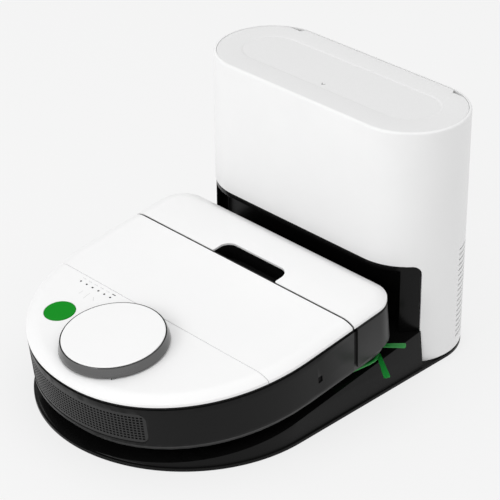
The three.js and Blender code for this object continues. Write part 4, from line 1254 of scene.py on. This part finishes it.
def turret():
    r = TURRET_R
    middle = (0, TURRET_Y, 0)
    low, high = COVER_TOP + 1.3, TURRET_TOP - 0.6
    band = [(r - 7, low), (r + 1.4, low), (r + 2.2, low + 0.4), (r + 2.4, low + 1.2),
            (r + 1.3, low + 5.5), (r + 0.1, high - 1.2), (r - 0.1, high - 0.4), (r - 0.4, high),
            (r - 0.6, high - 2), (r - 7, high - 2)]
    shape = turned(band, FINE + 32, True, middle)
    piece("turret_ring", shape, "robot", "turret_metal", "turret_band", ROBOT, angle=40)
    inner = r - 1.6
    base = TURRET_TOP - 2.3
    ring = [(inner + 0.1, base), (r - 0.65, base), (r - 0.65, TURRET_TOP - 0.7),
            (inner + 0.1, TURRET_TOP - 0.7)]
    shape = turned(ring, FINE, True, middle)
    piece("turret_shadow_ring", shape, "robot", "rubber_black", (), ROBOT, finish=DEEP_BLACK)
    cap = [(0, base), (inner, base), (inner, TURRET_TOP - 0.7), (inner - 0.2, TURRET_TOP - 0.25),
           (inner - 0.7, TURRET_TOP - 0.05), (inner - 2, TURRET_TOP), (0, TURRET_TOP)]
    shape = turned(cap, FINE + 32, at=middle)
    piece("turret_lid", shape, "robot", "cover_white", "turret_cap", ROBOT, angle=40)


def power_button():
    low, high = COVER_TOP - 3.4, COVER_TOP + 0.3
    face = [(0, low), (BUTTON_R, low), (BUTTON_R, high - 0.5), (BUTTON_R - 0.5, high),
            (BUTTON_R - 2.5, high - 0.1), (BUTTON_R / 2, high - 0.45), (0, high - 0.55)]
    shape = turned(face, FINE, at=(*BUTTON, 0))
    piece("start_button", shape, "button", "button_green", "power_button", ROBOT, angle=40)


def lights():
    shapes = []
    for i in range(LED_COUNT):
        dot = [(0, COVER_TOP - 3), (LED_R, COVER_TOP - 3), (LED_R, COVER_TOP - 0.05),
               (LED_R - 0.2, COVER_TOP + 0.05), (0, COVER_TOP + 0.08)]
        shapes.append(turned(dot, 16, at=(LED_FIRST + i * LED_PITCH, LED_Y, 0)))
    piece("indicator_lights", joined(*shapes), "robot", "lens_smoke", "light_guide", ROBOT,
          finish=DEEP_BLACK)


PRINT = 0.03  # thickness of printed ink


def stroke(x0, y0, x1, y1, width, z):
    """A printed line: a flat bar with round ends, just proud of the surface."""
    start, end = Vector((x0, y0)), Vector((x1, y1))
    length = (end - start).length
    points = arc(length, 0, width / 2, -90, 90, 4) + arc(0, 0, width / 2, 90, 270, 4)
    shape = drawn_from(points, 0, PRINT)[0]
    turn = Matrix.Rotation(math.atan2(*(end - start).yx), 4, "Z")
    return moved(shape, Matrix.Translation((x0, y0, z)) @ turn)


def printed_marks():
    """Faint labels beyond the lights, and three faint rays towards the button."""
    z = COVER_TOP + 0.01
    shapes = []
    for i in range(LED_COUNT - 1):
        x = LED_FIRST + i * LED_PITCH
        shapes.append(stroke(x - 2.4, LABEL_Y, x - 1.5, LABEL_Y, 0.9, z))
        shapes.append(stroke(x - 0.2, LABEL_Y - 0.3, x + 2.4, LABEL_Y - 0.3, 0.6, z))
        shapes.append(stroke(x + 0.2, LABEL_Y + 0.5, x + 1.6, LABEL_Y + 0.5, 0.5, z))
    shapes.append(stroke(-98.9, -80.6, -98.9, -74.5, 0.6, z))
    shapes.append(stroke(-88.3, -83.3, -89.4, -73.1, 0.6, z))
    shapes.append(stroke(-80.8, -75.0, -76.3, -79.4, 0.6, z))
    piece("faint_labels", joined(*shapes), "robot", "inner_charcoal", (), ROBOT, finish=PALE_INK)
    x = LED_FIRST + (LED_COUNT - 1) * LED_PITCH
    dark = [stroke(x - 2.2, LABEL_Y, x + 2.2, LABEL_Y, 1.1, z),
            stroke(39.2, -152.9, 41.8, -157.3, 0.9, z), stroke(41.8, -157.3, 44.4, -152.9, 0.9, z)]
    piece("dark_labels", joined(*dark), "robot", "inner_charcoal", (), ROBOT, finish=DARK_INK)
    z = TOWER_TOP - GAP - 0.6 + 0.01
    arrow = [stroke(-2.2, -24, 0, -27, 0.8, z), stroke(0, -27, 2.2, -24, 0.8, z)]
    piece("lid_arrow", joined(*arrow), "lid", "inner_charcoal", (), TOWER, finish=DARK_INK)


GROOVE_Y = LID_SEAM + LID_SEAM_WIDTH / 2
GROOVE_Z = (BAND_FOOT + BAND_TOP) / 2
SENSOR_Y = 12.4  # of the small window in the robot's side
SENSOR_HALF = 3
SENSOR_LOW = 24.8
SENSOR_HIGH = 32.6


def band_track():
    """The side wall's plan from the middle of the tail, anticlockwise, and its half length."""
    half, corner = HALF_WIDTH, NOSE_CORNER
    power = 2 / TAIL_POWER
    quarter = []
    for i in range(2 * FINE + 1):
        a = math.pi / 2 * i / (2 * FINE)
        quarter.append((half * math.sin(a) ** power, -TAIL * math.cos(a) ** power))
    right = quarter + arc(half - corner, NOSE - corner, corner, 0, 90, 24)
    left = [(-x, y) for x, y in reversed(right)]
    track = Track(right + left[:-1])
    return track, track.starts[len(quarter) - 1]


def groove_cut(shape, side, s, **clear):
    """Cuts a slab at one end, along the bumper's leaning groove."""
    normal = Vector((side, 0, -math.tan(GROOVE_LEAN))).normalized()
    sliced(shape, (s, 0, GROOVE_Z), normal, **clear)


def lipped(shape):
    """Raises a thin lip along the wall's upper edge, set back from its face."""

    def top():
        return [f for f in shape.faces
                if f.normal.z > 0.999 and f.calc_center_median().z > BAND_TOP - 0.01]

    cut(shape, Y, LIP_INSET, faces=top())
    inner = [f for f in top() if f.calc_center_median().y > LIP_INSET]
    drawn_up(shape, inner, (0, 0, LIP_TOP - BAND_TOP))


def bend_places(s_side, length):
    """Where a slab needs columns to follow the robot's plan."""
    tail = steps_between(-s_side, s_side, 3.5)
    nose = s_side + NOSE - NOSE_CORNER
    turn = NOSE_CORNER * math.pi / 2
    corner = [nose] + steps_between(nose, nose + turn, 2) + [nose + turn]
    return tail + corner + [length - s for s in corner]


def finished_wall(shape, track, s_side):
    """Gives a flat side wall its thickness, edges and lip, and bends it round the robot."""
    thickened(shape, BAND_WALL)
    softened(shape, [e for e in sharp_edges(shape) if on_face(e)], 0.25, 2)
    lipped(shape)
    cut(shape, X, *bend_places(s_side, track.length))
    track.wrapped(shape)


def side_band():
    track, s_side = band_track()
    end = s_side + GROOVE_Y + 8
    shape = panel(-end, end, BAND_FOOT, BAND_TOP)
    s = s_side + SENSOR_Y
    windowed(shape, s - SENSOR_HALF, s + SENSOR_HALF, SENSOR_LOW, SENSOR_HIGH, 0.5, 3)
    windowed(shape, -GRILLE_S, GRILLE_S, GRILLE_LOW, GRILLE_HIGH, GRILLE_CORNER, 8)
    for side in (-1, 1):
        groove_cut(shape, side, side * (s_side + GROOVE_Y - GROOVE / 2), clear_outer=True)
    finished_wall(shape, track, s_side)
    tongue = panel(s_side + GROOVE_Y - 20, s_side + GROOVE_Y + 16, 15, BAND_TOP - 3.4)
    thickened(tongue, 1.7)
    shifted(tongue, (0, BAND_WALL + GAP, 0))
    other = tongue.copy()
    shifted(other, (-2 * (s_side + GROOVE_Y) + 4, 0, 0))
    track.wrapped(tongue)
    track.wrapped(other)
    piece("side_wall", shape, "robot", "band_black", "side_band", ROBOT)
    half = SENSOR_HALF - GAP
    eye = block(HALF_WIDTH - 3.4, HALF_WIDTH - 1.2, SENSOR_Y - half, SENSOR_Y + half,
                SENSOR_LOW + GAP, SENSOR_HIGH - GAP, 0.3)
    piece("sensor_window", eye, "robot", "lens_smoke", "side_window", ROBOT, finish=DEEP_BLACK)
    piece("groove_liner", joined(tongue, other), "robot", "rubber_black", (), ROBOT)


def bumper():
    track, s_side = band_track()
    start = s_side + GROOVE_Y - 8
    shape = panel(start, track.length - start, BAND_FOOT, BAND_TOP)
    groove = s_side + GROOVE_Y + GROOVE / 2
    for side, s in ((1, groove), (-1, track.length - groove)):
        groove_cut(shape, side, s, clear_inner=True)
    finished_wall(shape, track, s_side)
    slope = Vector((0, NOSE - GROOVE_Y, BUMPER_NOSE_FOOT - BAND_FOOT))
    normal = Vector((1, 0, 0)).cross(slope)
    sliced(shape, (0, GROOVE_Y, BAND_FOOT), normal, clear_inner=True)
    capped(shape)
    faced_out(shape)
    piece("bumper_wall", shape, "bumper_body", "bumper_black", "bumper", ROBOT)


def arc_to(track, x):
    """Arc length from the tail's middle to a place across the tail."""
    for start, a, b in zip(track.starts, track.points, track.points[1:]):
        if a.x <= x <= b.x:
            return start + (b - a).length * (x - a.x) / (b.x - a.x)


GRILLE_S = arc_to(band_track()[0], GRILLE_HALF)
GRILLE_COLUMNS = 46
GRILLE_ROWS = 9


def exhaust_grille():
    """A curved panel with rows of small slots."""
    track = band_track()[0]
    edge = GRILLE_S - GAP
    low, high = GRILLE_LOW + GAP, GRILLE_HIGH - GAP
    shape = panel(-edge, edge, low, high)
    rounded_corners(shape, shape.verts[:], GRILLE_CORNER - GAP, 8)
    margin = 3
    across = (2 * edge - 2 * margin) / GRILLE_COLUMNS
    up = (high - low - 2 * margin) / GRILLE_ROWS
    cut(shape, X, *[-edge + margin + i * across for i in range(GRILLE_COLUMNS + 1)])
    cut(shape, Z, *[low + margin + row * up for row in range(GRILLE_ROWS + 1)])
    cells = []
    for face in shape.faces:
        middle = face.calc_center_median()
        beside, above = abs(middle.x), abs(middle.z - (low + high) / 2)
        clear = min(edge - beside, (high - low) / 2 - above)
        past = math.hypot(max(beside - edge + 9, 0), max(above - (high - low) / 2 + 9, 0))
        whole = abs(face.calc_area() - across * up) < 0.1
        if clear > margin and past < 9 - margin and whole:
            cells.append(face)
    bmesh.ops.inset_individual(shape, faces=cells, thickness=0.7, use_even_offset=True)
    dropped(shape, cells)
    thickened(shape, 1.1)
    shifted(shape, (0, 0.6, 0))
    track.wrapped(shape)
    piece("exhaust_slots", shape, "robot", "grille_black", "exhaust_grille", ROBOT)


covers()
turret()
power_button()
lights()
printed_marks()
side_band()
bumper()
exhaust_grille()


# ---- Side brush ----

BRUSH_CENTRE = Vector((147.8, 97, 0))
BRUSH_REACH = 49.5
TUFT_ROOT = 16.7
TUFT_COUNT = 5
TUFT_LOW = -3
TUFT_THICKNESS = 2
TUFT_PHASE = 55.6


def tuft():
    """One fan of bristles: a ridged blade that widens and frays a little at its tip."""
    length = math.sqrt(BRUSH_REACH ** 2 - TUFT_ROOT ** 2) - 0.8
    ridges, rows = 16, 10
    shape = bmesh.new()
    bmesh.ops.create_grid(shape, x_segments=rows, y_segments=ridges, size=0.5)
    for vert in shape.verts:
        along, across = vert.co.x + 0.5, vert.co.y * 2
        half = 2.0 + 1.5 * along
        ridge = round((across + 1) / 2 * ridges)
        fray = 0.5 * math.sin(ridge * 2.4) - 0.9 * abs(across) ** 4 - 0.6
        vert.co = Vector((
            length * along + fray * (along > 0.99),
            half * across,
            TUFT_LOW + TUFT_THICKNESS - 0.35 * (ridge % 2) - 0.25 * across ** 2))
    result = bmesh.ops.extrude_face_region(shape, geom=shape.faces[:])
    for vert in verts_of(result):
        vert.co.z = 2 * TUFT_LOW + TUFT_THICKNESS - vert.co.z
    faced_out(shape)
    return shape


def side_brush():
    parts = []
    for i in range(TUFT_COUNT):
        shape = moved(tuft(), Matrix.Rotation(-math.pi / 2, 4, "Z"))
        shifted(shape, (TUFT_ROOT, 0, 0))
        angle = math.radians(TUFT_PHASE) + math.tau * i / TUFT_COUNT
        moved(shape, Matrix.Translation(BRUSH_CENTRE) @ Matrix.Rotation(angle, 4, "Z"))
        parts.append(shape)
    low, high = TUFT_LOW, TUFT_LOW + TUFT_THICKNESS
    r = TUFT_ROOT
    ring = [(r - 2, low + 0.3), (r - 1.7, low), (r + 1.2, low), (r + 1.5, low + 0.3),
            (r + 1.5, high - 0.3), (r + 1.2, high), (r - 1.7, high), (r - 2, high - 0.3)]
    parts.append(turned(ring, FINE, True, BRUSH_CENTRE))
    piece("bristle_fans", joined(*parts), "side_brush", "tuft_green", "side_brush_tufts", ROBOT, 50)
    hub_r = TUFT_ROOT - 2 - GAP
    hub = [(0, low - 1), (4, low - 1), (5, low - 0.4), (hub_r - 4, low - 0.4), (hub_r - 1, low - 1),
           (hub_r, low - 0.5), (hub_r, high - 0.5), (hub_r - 0.5, high), (4, high), (4, 15),
           (0, 15)]
    shape = turned(hub, FINE, at=BRUSH_CENTRE)
    piece("brush_hub", shape, "side_brush", "rubber_black", "side_brush_hub", ROBOT)


side_brush()


# ---- Drive wheels ----

WHEEL_Y = -12
WHEEL_R = 31
WHEEL_INNER = 108
WHEEL_WIDTH = 20
AXLE_Z = GROUND + WHEEL_R + GAP
TYRE = 5


def across_x(shape, side, x, y, z):
    """Lays a shape turned about Z on an axle along X, its top outwards."""
    turn = Matrix.Rotation(side * math.pi / 2, 4, "Y")
    return moved(shape, Matrix.Translation((side * x, y, z)) @ turn)


def tyre():
    """A tyre whose tread has cross bars, cut by raising two steps of its face in three."""
    half = WHEEL_WIDTH / 2
    inner = WHEEL_R - TYRE + GAP
    base = WHEEL_R - 1.4
    steps = 96
    pitch = 3 * 360 / steps  # of the cross bars: two steps raised and one left
    shape = turned([(inner, -half), (base - 1, -half), (base, -half + 1), (base, -half / 2.5),
                    (base, half / 2.5), (base, half - 1), (base - 1, half), (inner, half)],
                   steps, close=True)
    bars = []
    for face in shape.faces:
        middle = face.calc_center_median()
        if abs(middle.z) > half - 1 or math.hypot(middle.x, middle.y) < base - 0.5:
            continue
        turn = math.degrees(math.atan2(middle.y, middle.x)) % 360
        stagger = pitch / 2 if abs(middle.z) < half / 2.5 else 0
        if (turn + stagger) % pitch < pitch * 2 / 3:
            bars.append(face)
    result = bmesh.ops.extrude_face_region(shape, geom=bars)
    for vert in verts_of(result):
        flat = Vector((vert.co.x, vert.co.y, 0))
        vert.co += flat.normalized() * (WHEEL_R - flat.length)
    dropped(shape, bars)
    return shape


def drive_wheels():
    x = WHEEL_INNER + WHEEL_WIDTH / 2
    for side, hand in SIDES:
        shape = across_x(tyre(), side, x, WHEEL_Y, AXLE_Z)
        faced_out(shape)
        piece("tyre_tread_" + hand, shape, "wheel_" + hand, "tyre_rubber", "tyre_" + hand, ROBOT)
        outer = WHEEL_R - TYRE
        face = WHEEL_WIDTH / 2 - 0.5
        profile = [(4.3, -face), (outer - 1, -face), (outer, -face + 1), (outer, face - 1),
                   (outer - 1, face), (outer - 3, face), (outer - 4, face - 2.5), (9, face - 2.5),
                   (8, face), (4.3, face)]
        shape = turned(profile, MEDIUM * 2, close=True)
        spokes = [f for f in shape.faces
                  if f.normal.z > 0.9 and 10 < f.calc_center_median().xy.length < outer - 4.5
                  and math.degrees(math.atan2(*f.calc_center_median().xy)) % 60 < 15]
        if spokes:
            drawn_up(shape, spokes, (0, 0, 2))
        across_x(shape, side, x, WHEEL_Y, AXLE_Z)
        faced_out(shape)
        piece("wheel_disc_" + hand, shape, "wheel_" + hand, "dock_black",
              "wheel_hub_" + hand, ROBOT)


drive_wheels()


# ---- Main brush ----

BRUSH_LEFT = -130
BRUSH_RIGHT = 63
BRUSH_Z = 8
BRUSH_R = 17


def main_brush():
    """Six rubber vanes that wind in a shallow V along a core."""
    steps = 48
    outline = []
    for vane in range(6):
        middle = 60 * vane
        for angle, radius in ((-24, 9.5), (-8, 10), (-4, 12), (-2.6, BRUSH_R - 0.4), (0, BRUSH_R),
                              (2.6, BRUSH_R - 0.4), (4, 12), (8, 10), (24, 9.5)):
            a = math.radians(middle + angle)
            outline.append((radius * math.cos(a), radius * math.sin(a)))
    shape = bmesh.new()
    front = [face_of(shape, outline)]
    length = BRUSH_RIGHT - BRUSH_LEFT
    for step in range(steps):
        result = bmesh.ops.extrude_face_region(shape, geom=front)
        front = faces_of(result)
        verts = verts_of(result)
        turn = math.radians(50 / (steps / 2)) * (1 if step < steps / 2 else -1)
        bmesh.ops.rotate(shape, cent=(0, 0, 0), matrix=Matrix.Rotation(turn, 3, "Z"), verts=verts)
        shifted(shape, (0, 0, length / steps), verts)
    faced_out(shape)
    axle = [(0, -9), (2.6, -9), (3, -8.6), (3, length + 8.6), (2.6, length + 9), (0, length + 9)]
    shape = joined(shape, turned(axle, SMALL))
    place = Matrix.Translation((BRUSH_LEFT, BRUSH_Y, BRUSH_Z))
    moved(shape, place @ Matrix.Rotation(math.pi / 2, 4, "Y"))
    faced_out(shape)
    piece("roller_brush", shape, "roller", "rubber_black", "main_brush", ROBOT)


main_brush()

for node in ("chassis_pan", "deck_plate", "bin_tub", "brush_guard", "brush_drive",
             "side_brush_motor", "wheel_arm_left", "wheel_arm_right", "caster_fork", "caster_wheel",
             "charge_pad_left", "charge_pad_right", "lidar_rotor", "suction_fan_housing",
             "battery_pack", "bin_filter"):
    polished(node)

camera()
studio()
